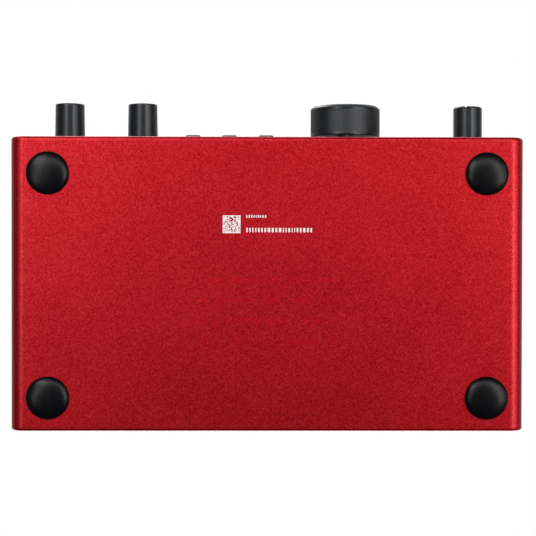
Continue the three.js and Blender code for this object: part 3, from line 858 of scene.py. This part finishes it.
def key(number):
    """A rounded square whose face sinks by 0.15 mm towards its middle."""
    node = f"button_{number}"
    reach = FRONT_FACE - Box(node).low[1]
    corners = [
        (KEY_HALF - 0.05 * MM, -reach + 0.15 * MM, 0),
        (1.1 * MM, -reach, 1.0 * MM),
        (0, -reach, 0.45 * MM),
        (0, KEY_BACK, 0.1 * MM),
        (KEY_HALF - 0.05 * MM, KEY_BACK, 0),
    ]
    profile = with_guards(filleted(corners), 0.25 * MM)
    outline = rounded_rectangle(
        KEY_HALF, KEY_HALF, KEY_CORNER, profile[:, 0], corner=8, side=4
    )
    grid = on_front(node)(rings(outline, profile[:, 1]))
    cap = (skin(grid), key_rubber)
    return make_piece(f"key_cap_{number}", [cap], f"key_{number}", [node])


for number in range(1, 7):
    key(number)

# %% [markdown]
# ## Panels, light rings and windows
#
# The panels could be drawn again, but their shapes are right as they are, flat plates with holes,
# so they keep their own solids and only get a finish. Gloss black shows smears and hairlines, and
# the rear panel is powder coated steel with an orange-peel texture. The light rings are frosted
# plastic. Their small rounded edges matter more than their sides, so a closed profile is turned.

# %% Panel finishes
def gloss_black():
    """Smears lighten and dull it in wide patches, and long hairlines dull it a little more."""
    finish = Finish("gloss_black_panel", coat_weight=0.6, coat_roughness=0.04)
    hair = finish.noise(0.09 * MM, detail=1, stretch=(0.02, 1, 1))
    smear = finish.noise(14 * MM, detail=3)
    color = finish.mix(smear, paint("08090a"), paint("111214"))
    return finish.set(base_color=color, roughness=0.12 + smear * 0.12 + hair * 0.05)


def powder_coat():
    """Orange peel with dimples half a millimetre wide is a bump, and it varies the gloss too."""
    finish = Finish("black_powder_coat")
    peel = finish.noise(0.5 * MM, detail=2)
    patch = finish.noise(20 * MM, detail=2)
    color = finish.mix(patch, paint("17181a"), paint("222426"))
    finish.bump((peel, 0.06 * MM, 0.35))
    return finish.set(base_color=color, roughness=0.42 + peel * 0.15)


def frosted():
    """Pale grey with a fine frost in its colour, its surface and its gloss."""
    finish = Finish("frosted_diffuser")
    frost = finish.noise(0.2 * MM, detail=2)
    color = finish.mix(frost, paint("aeb3b2"), paint("c4c8c6"))
    finish.bump((frost, 0.02 * MM, 0.2))
    return finish.set(base_color=color, roughness=0.35 + frost * 0.15)


def put_on(node, material):
    """Gives a part that keeps its own solid its finish."""
    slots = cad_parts[node].data.materials
    slots.clear()
    slots.append(material)


panel_gloss, panel_coat, diffuser = gloss_black(), powder_coat(), frosted()
put_on("front_panel", panel_gloss)
put_on("rear_panel", panel_coat)
put_on("indicator_light_guide", diffuser)

# %% Turn the light rings
RING_DEPTH = 1.3 * MM


def light_ring(node):
    """A flat ring with both edges of its face rounded."""
    outer = Box(node).size[0] / 2
    inner = outer - (1.4 * MM if node.startswith("gain") else 1.8 * MM)
    corners = [
        (outer, 0, 0.25 * MM),
        (outer, RING_DEPTH, 0),
        (inner, RING_DEPTH, 0),
        (inner, 0, 0.25 * MM),
    ]
    profile = filleted(corners, closed=True)
    ring = turned_ring(profile, on_front(node), 128)
    return make_piece(f"{node}_lens", [(ring, diffuser)], "housing", [node])


for node in ("gain_light_ring_1", "gain_light_ring_2", "output_light_ring"):
    light_ring(node)

# %% [markdown]
# ## Metal finishes
#
# Nuts and latches are nickel plated, shells are drawn steel, and screws are blackened steel that
# has begun to shine in places. A metal is recognised by what it reflects, so all of them are fully
# or nearly metallic and differ in tint and roughness. The marks of the drawing die are a noise
# stretched along the direction of drawing.

# %% Nickel, steel and black steel
def nickel():
    """Haze drives both tint and roughness, and fine marks are a shallow bump."""
    finish = Finish("nickel_plate", metallic=1.0)
    marks = finish.noise(0.15 * MM, detail=2)
    haze = finish.noise(2 * MM, detail=3)
    color = finish.mix(haze, paint("b9b6ae"), paint("d6d4ce"))
    finish.bump((marks, 0.01 * MM, 0.25))
    return finish.set(base_color=color, roughness=0.16 + haze * 0.12)


def drawn_steel():
    """Long lines, twenty times as long as wide, along y."""
    finish = Finish("drawn_steel", metallic=1.0)
    lines = finish.noise(0.12 * MM, detail=2, stretch=(1, 0.05, 1))
    color = finish.mix(lines, paint("84878a"), paint("a3a6a8"))
    finish.bump((lines, 0.01 * MM, 0.3))
    return finish.set(base_color=color, roughness=0.25 + lines * 0.15)


def black_steel():
    """Nearly black, with lighter and shinier spots where the noise rises above 0.62."""
    finish = Finish("black_zinc_steel", metallic=0.9)
    grain = finish.noise(0.35 * MM, detail=3)
    rub = finish.noise(1.8 * MM, detail=4).step(0.62, 0.8)
    color = finish.mix(rub * 0.5, paint("232427"), paint("5a5a5c"))
    finish.bump((grain, 0.02 * MM, 0.2))
    return finish.set(base_color=color, roughness=0.38 + grain * 0.12 - rub * 0.1)


def moulded_black():
    """Matt black plastic: one grain for colour, surface and gloss."""
    finish = Finish("moulded_black")
    grain = finish.noise(0.3 * MM, detail=2)
    color = finish.mix(grain, paint("0d0e0f"), paint("17181a"))
    finish.bump((grain, 0.03 * MM, 0.3))
    return finish.set(base_color=color, roughness=0.45 + grain * 0.15)


def gold():
    """Gold plate with a slight haze."""
    finish = Finish("gold_contact", metallic=1.0)
    haze = finish.noise(0.8 * MM, detail=2)
    color = finish.mix(haze, paint("c79a3e"), paint("e2bb62"))
    return finish.set(base_color=color, roughness=0.2 + haze * 0.12)


nickel_plate, steel, dark_steel = nickel(), drawn_steel(), black_steel()
moulding, gold_plate = moulded_black(), gold()

# %% [markdown]
# ## Sockets for large plugs
#
# A socket is a threaded bushing with a deep bore, held by a ring nut with a scalloped rim and two
# spanner slots. The case of the socket stays behind the panel, and it is a rectangle. Bushing and
# case could be two pieces, but a ring with as many points can change from a circle to a rectangle,
# so they are one closed skin. Inside the bore a sprung contact shows.

# %% Bushings and cases
BORE = 3.25 * MM  # radius
BUSHING = 4.65 * MM
SHOULDER = 3 * MM  # how deep behind the panel's face the case begins


def socket_skin(node, place, mouth):
    """Bore, bushing and case in one closed skin: circles in front, rectangles behind."""
    box = Box(node)
    back = mouth + box.size[1]
    inside = [
        (0.1 * MM, back - 1.4 * MM, 0),
        (BORE, back - 1.4 * MM, 0.1 * MM),
        (BORE, mouth + 0.6 * MM, 0.1 * MM),
        (BORE + 0.5 * MM, mouth, 0.1 * MM),
        (BUSHING, mouth, 0.3 * MM),
        (BUSHING, SHOULDER, 0),
    ]
    round_part = filleted(inside)
    half = box.size / 2
    shell = filleted(
        [
            (0.5 * MM, SHOULDER, 0),
            (0, SHOULDER, 0.3 * MM),
            (0, back, 0.3 * MM),
            (6 * MM, back, 0),
        ]
    )
    case_rings = rounded_rectangle(half[0], half[2], 0.8 * MM, shell[:, 0], corner=12, side=5)
    outline = np.concatenate([circle_for(round_part[:, 0], corner=12, side=5), case_rings])
    return skin(place(rings(outline, np.concatenate([round_part[:, 1], shell[:, 1]]))))


print("bore:", round(2 * BORE / MM, 2), "mm")

# %% The ring nut
NUT_WAVES = 36


def nut_skin(place, mouth):
    """A ring nut whose rim is scalloped by a cosine, with a chamfer round its face.

    The radius shrinks by 0.022 of itself times (half of 1 + cos(waves angle)) cubed. Near the line
    up = 0 the face is pressed in by 0.35 mm, which makes the two spanner slots."""
    inner, outer = 4.85 * MM, 6.4 * MM
    corners = [
        (outer, -0.05 * MM, 0.05 * MM),
        (outer, mouth + 0.3 * MM, 0.1 * MM),
        (outer - 0.35 * MM, mouth, 0.1 * MM),
        (inner + 0.25 * MM, mouth, 0.1 * MM),
        (inner, mouth + 0.25 * MM, 0.05 * MM),
        (inner, -0.05 * MM, 0),
    ]
    profile = filleted(corners, closed=True, steps=3)[:-1]
    local = rings(circle(profile[:, 0], 288), profile[:, 1])
    around = np.arctan2(local[..., 1], local[..., 0])
    rim = np.clip((np.hypot(local[..., 0], local[..., 1]) - outer + 0.3 * MM) / (0.3 * MM), 0, 1)
    scale = 1 - 0.022 * rim * (0.5 + 0.5 * np.cos(NUT_WAVES * around)) ** 3
    local[..., :2] *= scale[..., None]
    slot = np.clip(1.6 - np.abs(local[..., 1]) / (0.6 * MM), 0, 1)
    local[..., 2] += slot * 0.35 * MM * (local[..., 2] < mouth + 0.2 * MM)
    return skin(place(local), wrap=True)


print("waves round a nut:", NUT_WAVES)

# %% The sprung contact
def contact_skin(place, depth):
    """A bent strip that rises from the bore's wall.

    Its cross-section is a flat ellipse. Along it, t goes from -1 to 1 and its height is the bore's
    radius less rise times sqrt(1 - t squared)."""
    angle = np.linspace(0, 2 * np.pi, 13)[:-1]
    along = np.linspace(-1, 1, 17)
    width, rise = 0.9 * MM, 0.9 * MM
    height = BORE - rise * (1 - along**2) ** 0.5
    across = width * np.cos(angle)[None] + 0 * along[:, None]
    up = height[:, None] + 0.15 * MM * np.sin(angle)[None]
    deep = depth + 2 * MM * along[:, None] + 0 * angle[None]
    return skin(place(np.stack([across, up, deep], -1)))


print("a contact has", len(contact_skin(lambda p: p, 0)[1]), "faces along its sides")

# %% Fit the five sockets
def large_socket(node, nut, place_on, front):
    """Bushing, case, contact and nut of one socket, on the front or on the rear panel."""
    place = place_on(node)
    box = Box(node)
    mouth = box.low[1] - FRONT_FACE if front else REAR_FACE - box.high[1]
    parts = [
        (socket_skin(node, place, mouth), moulding),
        (contact_skin(place, mouth + 7 * MM), gold_plate),
    ]
    make_piece(f"{node}_bushing", parts, "housing", [node])
    make_piece(f"{nut}_ring", [(nut_skin(place, mouth), nickel_plate)], "housing", [nut])


for suffix in ("_1", "_2"):
    large_socket(f"input_jack{suffix}", f"input_jack_nut{suffix}", on_front, True)
large_socket("headphone_jack", "headphone_jack_nut", on_front, True)
for side in ("left", "right"):
    large_socket(f"line_out_jack_{side}", f"line_out_nut_{side}", on_rear, False)

# %% [markdown]
# ## Microphone sockets
#
# A die-cast flange carries a round cavity for the plug. The face goes from the flange's rectangle
# to the cavity's circle, so it is again one skin of rings. The pockets for two screws and for the
# thumb tab lie off the axis, where rings are of no help, so they are cut with a Boolean. So are
# the three holes in the round insert, and a thin gold sleeve lines each hole.

# %% The shell
FLANGE_CORNER = 2.5 * MM
CAVITY, BARREL = 9.6 * MM, 11.7 * MM  # radii inside and outside


def shell_skin(node, place):
    """Back of the flange, its edge, its face, and the cavity down to the bottom and back."""
    box = Box(node)
    face = REAR_FACE - box.high[1]
    bottom = face + box.size[1]
    half = box.size / 2
    flange = [(1.5 * MM, -0.1 * MM, 0), (0, -0.1 * MM, 0.1 * MM), (0, face, 0.45 * MM)]
    flange = filleted(flange + [(0.9 * MM, face, 0)])
    flange_rings = rounded_rectangle(
        half[0], half[2], FLANGE_CORNER, flange[:, 0], corner=10, side=13
    )
    inside = filleted(
        [
            (CAVITY + 1.9 * MM, face, 0),
            (CAVITY + 1.6 * MM, face, 0.1 * MM),
            (CAVITY + 1.3 * MM, face + 0.35 * MM, 0.1 * MM),
            (CAVITY + 0.6 * MM, face + 0.35 * MM, 0.2 * MM),
            (CAVITY, face + 1.1 * MM, 0.2 * MM),
            (CAVITY, bottom - 3.2 * MM, 0.2 * MM),
            (0.1 * MM, bottom - 3.2 * MM, 0),
        ]
    )
    back = filleted(
        [(0.1 * MM, bottom, 0), (BARREL, bottom, 0.4 * MM), (BARREL, -0.1 * MM, 0)]
    )
    outline = np.concatenate(
        [circle_for(back[:, 0], 10, 13), flange_rings, circle_for(inside[:, 0], 10, 13)]
    )
    depths = np.concatenate([back[:, 1], flange[:, 1], inside[:, 1]])
    return skin(place(rings(outline, depths)))


print("cavity:", round(2 * CAVITY / MM, 1), "mm across")

# %% Pockets for screws and tab
def countersink(node):
    """A short round pocket for a screw's head, a little wider than the head."""
    place = on_rear(node)
    depth = REAR_FACE - Box(node).high[1]
    pocket = [[0.02, -0.5], [2.52, -0.5], [2.52, 0.95], [0.02, 0.95]]
    return turned(np.array(pocket) * MM + [0, depth], place, 48)


def latch_slot(latch):
    """The pocket that the thumb tab slides in: a quarter of a millimetre wider all round."""
    box, play = Box(latch), 0.25 * MM
    low, high = box.low - play, box.high + play
    low[1] = box.low[1] - 2 * MM
    return boxes([low], [high])


print("a screw's pocket has", len(countersink("mic_socket_screw_1")[1]), "faces round it")

# %% The insert, its holes and sleeves
HOLE_DEPTH = 8 * MM


def pin_sleeves(node, place):
    """A thin gold tube round each contact hole."""
    face = REAR_FACE - Box(node).high[1]
    corners = [
        (1.35 * MM, face + 0.2 * MM, 0.05 * MM),
        (1.35 * MM, face + HOLE_DEPTH, 0),
        (1.05 * MM, face + HOLE_DEPTH, 0),
        (1.05 * MM, face + 0.2 * MM, 0.05 * MM),
    ]
    tube = filleted(corners, closed=True, steps=2)
    return [
        (turned_ring(tube, lambda p, c=centre: place(p + c), 32), gold_plate)
        for centre in pin_places()
    ]


def pin_holes(node, place):
    """Round tools for the contact holes. Their radius is 0.02 mm larger than the sleeves'."""
    face = REAR_FACE - Box(node).high[1]
    hole = np.array([[0.02, -0.5], [1.37, -0.5], [1.37, 8.0], [0.02, 8.0]]) * MM + [0, face]
    return [turned(hole, lambda p, c=centre: place(p + c), 32) for centre in pin_places()]


def insert_skin(node, place):
    """The round block of insulation that holds the contacts, with a small fillet on its rim."""
    face = REAR_FACE - Box(node).high[1]
    back = face + Box(node).size[1]
    radius = Box(node).size[0] / 2
    corners = [(0.1 * MM, face, 0), (radius, face, 0.3 * MM), (radius, back, 0.1 * MM)]
    profile = with_guards(filleted(corners + [(0.1 * MM, back, 0)]), 0.3 * MM)
    return turned(profile, place, 128)


def pin_places():
    """The three contacts lie on a circle of 4.6 mm, at 30, 150 and 270 degrees."""
    angles = np.radians([30, 150, 270])
    return 4.6 * MM * np.stack([np.cos(angles), np.sin(angles), 0 * angles], -1)


print("pin places, mm:", np.round(pin_places()[:, :2] / MM, 2).tolist())

# %% The thumb tab
def latch_skin(node, place):
    """A small block with round corners and a softly rounded face."""
    box = Box(node)
    half = box.size / 2
    face = REAR_FACE - box.high[1]
    profile = with_guards(
        filleted(
            [
                (half[2] - 0.1 * MM, face, 0),
                (0, face, 0.35 * MM),
                (0, face + box.size[1], 0.1 * MM),
                (half[2] - 0.1 * MM, face + box.size[1], 0),
            ]
        ),
        0.2 * MM,
    )
    outline = rounded_rectangle(half[0], half[2], 0.5 * MM, profile[:, 0], corner=5, side=5)
    return skin(place(rings(outline, profile[:, 1])))


print("tab, mm:", np.round(Box("mic_latch_1").size / MM, 1))

# %% Put both sockets together
for number in (1, 2):
    place = on_rear(f"mic_socket_{number}")
    insert = f"mic_insert_{number}"
    shell = make_piece(
        f"mic_shell_{number}",
        [(shell_skin(f"mic_socket_{number}", place), dark_steel)],
        "housing",
        [f"mic_socket_{number}"],
    )
    screws = [f"mic_socket_screw_{2 * number - 1}", f"mic_socket_screw_{2 * number}"]
    cut(shell, latch_slot(f"mic_latch_{number}"), *[countersink(screw) for screw in screws])
    block = [(insert_skin(insert, on_rear(insert)), moulding)]
    block = make_piece(f"{insert}_block", block, "housing", [insert])
    cut(block, *pin_holes(insert, on_rear(insert)))
    sleeves = pin_sleeves(insert, on_rear(insert))
    make_piece(f"mic_contacts_{number}", sleeves, "housing", ())
    latch = f"mic_latch_{number}"
    tab = (latch_skin(latch, on_rear(latch)), nickel_plate)
    make_piece(f"{latch}_tab", [tab], f"latch_{number}", [latch])

# %% [markdown]
# ## Screws
#
# Eight cross-head screws hold the rear panel and the microphone sockets. The recess could be cut
# with a Boolean for each, but a formula on the turned head is shorter and leaves soft edges, as on
# a pressed screw: near the lines x = 0 and y = 0 and close to the middle, the face is pressed in.

# %% Heads with a cross recess
HEAD, SHANK = 2.38 * MM, 1.3 * MM


def screw_skin(place, head, depth, flat):
    """A head with a domed or flat face, a shank, and a recess along two crossing lines."""
    radii = np.concatenate([np.linspace(0.03, 0.62, 14), [0.72, 0.82, 0.91, 0.97, 1.0]]) * head
    crown = 0 if flat else 0.45 * MM
    face = depth + crown * (radii / head) ** 2
    tail = np.array([[head, depth + 0.9 * MM], [SHANK, depth + 1.3 * MM]])
    tail = np.concatenate([tail, [[SHANK, depth + 4 * MM], [0.05 * MM, depth + 4.2 * MM]]])
    profile = np.concatenate([np.stack([radii, face], -1), tail])
    local = rings(circle(profile[:, 0], 96), profile[:, 1])
    from_middle = np.hypot(local[..., 0], local[..., 1])
    nearest = np.minimum(np.abs(local[..., 0]), np.abs(local[..., 1]))
    in_cross = np.clip(1.8 - nearest / (0.22 * MM), 0, 1)
    in_cross *= np.clip((0.62 * head - from_middle) / (0.25 * MM), 0, 1)
    on_face = local[..., 2] < depth + 0.6 * MM
    local[..., 2] += in_cross * on_face * 0.8 * MM
    return skin(place(local))


for number in range(1, 5):
    for kind, flat in (("mic_socket_screw", True), ("rear_panel_screw", False)):
        node = f"{kind}_{number}"
        depth = REAR_FACE - Box(node).high[1]
        head_skin = screw_skin(on_rear(node), HEAD, depth, flat)
        make_piece(f"{node}_head", [(head_skin, dark_steel)], "housing", [node])

# %% [markdown]
# ## USB ports
#
# A drawn steel shell with a rolled lip, and inside it the contact tongue with its row of gold
# pads. The shell is bent from sheet, so a solid with a hole would look too thick. Its profile
# starts inside near the back, runs forward along the inside, round the lip and back outside.

# %% Shell and tongue
USB_WALL = 0.3 * MM
TONGUE_HALF = (3.35 * MM, 0.35 * MM)


def usb_shell_skin(box, place, mouth, back):
    """One skin whose rings are 0.3 mm further in on the inside than on the outside."""
    profile = filleted(
        [
            (2 * USB_WALL, back - 0.7 * MM, 0),
            (USB_WALL, back - 0.7 * MM, 0),
            (USB_WALL, mouth, 0.12 * MM),
            (0, mouth, 0.12 * MM),
            (0, back, 0.2 * MM),
            (2 * USB_WALL, back, 0),
        ]
    )
    half = box.size / 2
    outline = rounded_rectangle(half[0], half[2], 1.6 * MM, profile[:, 0], corner=10, side=3)
    return skin(place(rings(outline, profile[:, 1])))


def tongue_skin(place):
    """A thin rounded bar from 1.2 to 6.9 mm deep, closed at both ends."""
    front, back = 1.2 * MM, 6.9 * MM
    profile = filleted(
        [(0.34 * MM, front, 0), (0, front, 0.12 * MM), (0, back, 0), (0.34 * MM, back, 0)]
    )
    outline = rounded_rectangle(*TONGUE_HALF, 0.15 * MM, profile[:, 0], corner=3, side=3)
    return skin(place(rings(outline, profile[:, 1])))


print("tongue:", [round(2 * half / MM, 1) for half in TONGUE_HALF], "mm")

# %% Pads, and both ports
def pads_skin(place):
    """Twelve pads on each side of the tongue, half a millimetre apart."""
    across = (np.arange(12) - 5.5) * 0.5 * MM
    low = np.stack([across - 0.13 * MM, across * 0 + 0.34 * MM, across * 0 + 1.5 * MM], -1)
    high = low + np.array([0.26, 0.03, 3.5]) * MM
    under_low, under_high = low * [1, -1, 1], high * [1, -1, 1]
    lows = np.concatenate([low, np.minimum(under_low, under_high)])
    highs = np.concatenate([high, np.maximum(under_low, under_high)])
    points, quads, triangles = boxes(lows, highs)
    return outward(place(points), quads, triangles)


def usb_port(role):
    """Shell, tongue and pads of one port."""
    node = f"usb_{role}_port"
    box, place = Box(node), on_rear(node)
    mouth = REAR_FACE - box.high[1]
    shell = usb_shell_skin(box, place, mouth, mouth + box.size[1])
    parts = [(shell, steel), (tongue_skin(place), moulding), (pads_skin(place), gold_plate)]
    return make_piece(f"usb_{role}_shell", parts, "housing", [node])


for role in ("data", "power"):
    usb_port(role)

# %% [markdown]
# ## What is inside
#
# Boards and controls stay behind the panels, and only glimpses of them show through gaps, so finer
# shapes would be lost work. They keep their own solids: solder mask with copper tracks under it,
# and moulded cases.

# %% Board and case finishes
def solder_mask():
    """Tracks run along y, 1.3 mm apart, and a wide noise bends them."""
    finish = Finish("green_solder_mask", coat_weight=0.4, coat_roughness=0.15)
    lane = (finish.x / (1.3 * MM) + finish.noise(9 * MM, detail=0) * 3).fraction()
    track = abs(lane - 0.5).step(0.22, 0.14)
    weave = finish.noise(0.6 * MM, detail=2)
    color = finish.mix(track, paint("0f3a20"), paint("1d5a33"))
    finish.bump((track, 0.03 * MM, 0.5))
    return finish.set(base_color=color, roughness=0.3 + weave * 0.2)


chips = ["board_connector", "usb_processor", "audio_converter"]
controls = ["gain_encoder_1", "gain_encoder_2", "output_potentiometer", "headphone_potentiometer"]
shafts = ["gain_shaft_1", "gain_shaft_2", "output_shaft", "headphone_shaft"]
mask = solder_mask()
for nodes, material in (
    (["main_board", "front_board"], mask),
    (chips + controls, moulding),
    (shafts, steel),
):
    for node in nodes:
        put_on(node, material)

# %% [markdown]
# ## Printed marks
#
# The underside carries a small white label: a square of random cells and two short rows of plain
# bars, which stand for nothing. It could be part of the red finish, but ink lies on the metal and
# hides its grain, so each mark is a film two hundredths of a millimetre thick. Dots round the
# headphone knob show its range.

# %% Cells and bars on the underside
INK = 0.02 * MM


def film(lows, highs):
    """Boxes of ink under the underside, from (x, y) corners."""
    lows, highs = np.asarray(lows, float), np.asarray(highs, float)
    below = np.full((len(lows), 1), UNDERSIDE - INK)
    above = np.full((len(lows), 1), UNDERSIDE + INK)
    return boxes(np.concatenate([lows, below], 1), np.concatenate([highs, above], 1))


def random_square(corner, side, cells, seed):
    """A framed square of cells, each inked if its own seeded draw is below 0.6."""
    draw = np.random.default_rng(seed).random((cells, cells)) < 0.6
    draw[0] = draw[-1] = draw[:, 0] = draw[:, -1] = True
    column, row = np.nonzero(draw)
    step = side / cells
    lows = np.array(corner) + np.stack([column, row], -1) * step
    return lows, lows + step * 1.001


def bars(start, height, widths, gap):
    """A row of plain bars of the given widths."""
    widths = np.asarray(widths)
    lefts = start[0] + np.cumsum(np.concatenate([[0], widths[:-1] + gap]))
    lows = np.stack([lefts, np.full(len(widths), start[1])], -1)
    return lows, lows + np.stack([widths, np.full(len(widths), height)], -1)


def label():
    """The square lies left of the middle, and two rows of bars run from it to the right."""
    left = sleeve.low[0] + 0.412 * sleeve.size[0]
    front = sleeve.low[1] + 0.2635 * sleeve.size[1]
    random = np.random.default_rng(7)
    square = random_square((left + 0.2 * MM, front + 0.4 * MM), 6.2 * MM, cells=19, seed=11)
    start = left + 8.4 * MM
    narrow, wide = random.uniform(0.25, 0.5, 9) * MM, random.uniform(0.3, 0.85, 21) * MM
    small = bars((start, front + 0.3 * MM), 0.9 * MM, narrow, 0.42 * MM)
    large = bars((start, front + 4.75 * MM), 1.5 * MM, wide, 0.55 * MM)
    lows = np.concatenate([square[0], small[0], large[0]])
    highs = np.concatenate([square[1], small[1], large[1]])
    ink = [(film(lows, highs), print_white)]
    return make_piece("underside_label", ink, "housing", ())


label()

# %% Dots round the headphone knob
DIAL_RADIUS, DOT = 7.2 * MM, 0.32 * MM


def dial_dots():
    """Eleven dots over 300 degrees, starting where the pointer rests."""
    place = on_front("headphone_knob")
    parts = []
    disc = np.array([[0.01 * MM, -INK], [DOT, -INK], [DOT, INK], [0.01 * MM, INK]])
    for turn in np.linspace(0, 300, 11):
        angle = POINTER + math.radians(turn)
        centre = DIAL_RADIUS * np.array([math.sin(angle), math.cos(angle), 0])
        parts.append((turned(disc, lambda p, c=centre: place(p + c), 16), print_white))
    return make_piece("headphone_dial_dots", parts, "housing", ())


dial_dots()

# %% [markdown]
# ## Camera
#
# The object is looked at from straight below, with its front edge up, so the camera is under it
# and looks along +Z. It stands almost half a metre away, a little to the front and left of the
# middle, which shows a sliver of the knobs' lower sides. A camera without perspective would show
# none of them.

# %% Place the camera
CAMERA_AT = Vector((-4.62, -5.05, -463.6)) * MM
AIM = Vector((0.18, 1.63, 2.5)) * MM
PICTURE_UP = Vector((-0.0016, -0.9999, 0.0143))
FOCAL = 89.7  # mm, on a 36 mm wide sensor

camera_data = bpy.data.cameras.new("camera")
camera_data.lens = FOCAL
camera_data.sensor_width = 36
camera_data.clip_start = 0.01
camera = bpy.data.objects.new("camera", camera_data)
bpy.context.scene.collection.objects.link(camera)
bpy.context.scene.camera = camera


def aimed(position, target, up):
    """A camera's matrix: it looks along its own -Z, with +Y up in the picture."""
    back = (position - target).normalized()
    right = up.cross(back).normalized()
    axes = Matrix((right, back.cross(right), back)).transposed()
    return Matrix.Translation(position) @ axes.to_4x4()


camera.matrix_world = aimed(CAMERA_AT, AIM, PICTURE_UP)
print("camera is", round((CAMERA_AT - AIM).length, 3), "m away")

# %% [markdown]
# ## Floor
#
# The object stands on a plain pale floor. Seen from below, a floor would hide everything, so it is
# a one-way sheet: its material is transparent from behind, and its rays for shadow, gloss and
# bounce light are switched off, which lets light reach the underside.

# %% A floor that only shows from above
def floor():
    """A square of 6 m whose material turns clear where it is seen from behind."""
    size = 3.0
    corners = np.array([[-1, -1, 0], [1, -1, 0], [1, 1, 0], [-1, 1, 0]]) * size
    mesh = bpy.data.meshes.new("floor")
    mesh.from_pydata(corners, [], [[0, 1, 2, 3]])
    made = bpy.data.objects.new("floor", mesh)
    bpy.context.scene.collection.objects.link(made)
    finish = Finish("pale_floor", roughness=0.6)
    tone = finish.noise(0.4, detail=2)
    finish.set(base_color=finish.mix(tone, paint("e9e9e8"), paint("efefee")))
    clear = finish.node("ShaderNodeBsdfTransparent")
    side = finish.node("ShaderNodeNewGeometry")
    mixed = finish.node(
        "ShaderNodeMixShader",
        {},
        [side.outputs["Backfacing"], finish.shader.outputs[0], clear.outputs[0]],
    )
    output = finish.tree.nodes["Material Output"]
    finish.feed(output.inputs["Surface"], mixed.outputs[0])
    mesh.materials.append(finish.material)
    made.visible_shadow = False
    made.visible_glossy = False
    made.visible_diffuse = False


floor()

# %% [markdown]
# ## Light
#
# Soft studio light. The underside looks down, so long low panels under the floor light it: one in
# front, one on the left, a small one between them, and three on the right, which put the red metal
# brightest towards its front corners and its right edge and darkest at the middle of the rear. The
# room is bright above and dark below, so it lights the top and the floor, and the edges seen from
# below stay dark.

# %% The room
def room(seen, above, below):
    """A white room for the eye, and for the object one that rises from `below` to `above`.

    A direction's z goes from 0.05 to 0.4 over the rise."""
    world = bpy.data.worlds.new("room")
    bpy.context.scene.world = world
    world.use_nodes = True
    tree = world.node_tree
    tree.nodes.clear()
    place, axes, height, path, felt_light, seen_light, mixed, output = (
        tree.nodes.new(f"ShaderNode{kind}")
        for kind in (
            "TexCoord",
            "SeparateXYZ",
            "MapRange",
            "LightPath",
            "Background",
            "Background",
            "MixShader",
            "OutputWorld",
        )
    )
    height.interpolation_type = "SMOOTHSTEP"
    limits = (("From Min", 0.05), ("From Max", 0.4), ("To Min", below), ("To Max", above))
    for name, value in limits:
        height.inputs[name].default_value = value
    for light in (felt_light, seen_light):
        light.inputs["Color"].default_value = (1, 1, 1, 1)
    seen_light.inputs["Strength"].default_value = seen
    tree.links.new(place.outputs["Generated"], axes.inputs[0])
    tree.links.new(axes.outputs["Z"], height.inputs["Value"])
    tree.links.new(height.outputs["Result"], felt_light.inputs["Strength"])
    tree.links.new(path.outputs["Is Camera Ray"], mixed.inputs[0])
    tree.links.new(felt_light.outputs[0], mixed.inputs[1])
    tree.links.new(seen_light.outputs[0], mixed.inputs[2])
    tree.links.new(mixed.outputs[0], output.inputs["Surface"])


room(seen=1.0, above=0.6, below=0.02)
print("world:", bpy.context.scene.world.name)

# %% The lamps
def lamp(name, position, size, power, bounces=12):
    """A rectangular soft light of this size in metres and power in watts, aimed at the object.

    With no bounces its light only reaches what the eye sees, so the red metal throws no red
    glow on the floor."""
    data = bpy.data.lights.new(name, "AREA")
    data.shape = "RECTANGLE"
    data.size, data.size_y = size
    data.energy = power
    data.cycles.max_bounces = bounces
    made = bpy.data.objects.new(name, data)
    bpy.context.scene.collection.objects.link(made)
    up = Vector((0, -0.2, 1)).normalized()
    made.matrix_world = aimed(Vector(position), Vector((0, 0, 0)), up)
    print(f"{name}: {power} W")


lamp("under_front", (0.0, -0.375, -0.65), (0.9, 0.16), 1.8, 0)
lamp("under_left", (-0.373, -0.068, -0.646), (0.6, 0.14), 1.3, 0)
lamp("under_corner", (-0.373, -0.401, -0.513), (0.3, 0.3), 1.8, 0)
lamp("under_right_near", (0.46, -0.062, -0.589), (0.6, 0.14), 2.0, 0)
lamp("under_right", (0.556, -0.053, -0.501), (0.6, 0.3), 0.6, 0)
lamp("under_right_far", (0.661, -0.037, -0.352), (0.6, 0.25), 0.75, 0)
lamp("over_front", (-0.2, -1.1, 1.1), (1.0, 0.8), 10)
lamp("over_rear", (0.2, 1.1, 1.0), (1.0, 0.8), 10)
bpy.context.scene.view_settings.view_transform = "Standard"
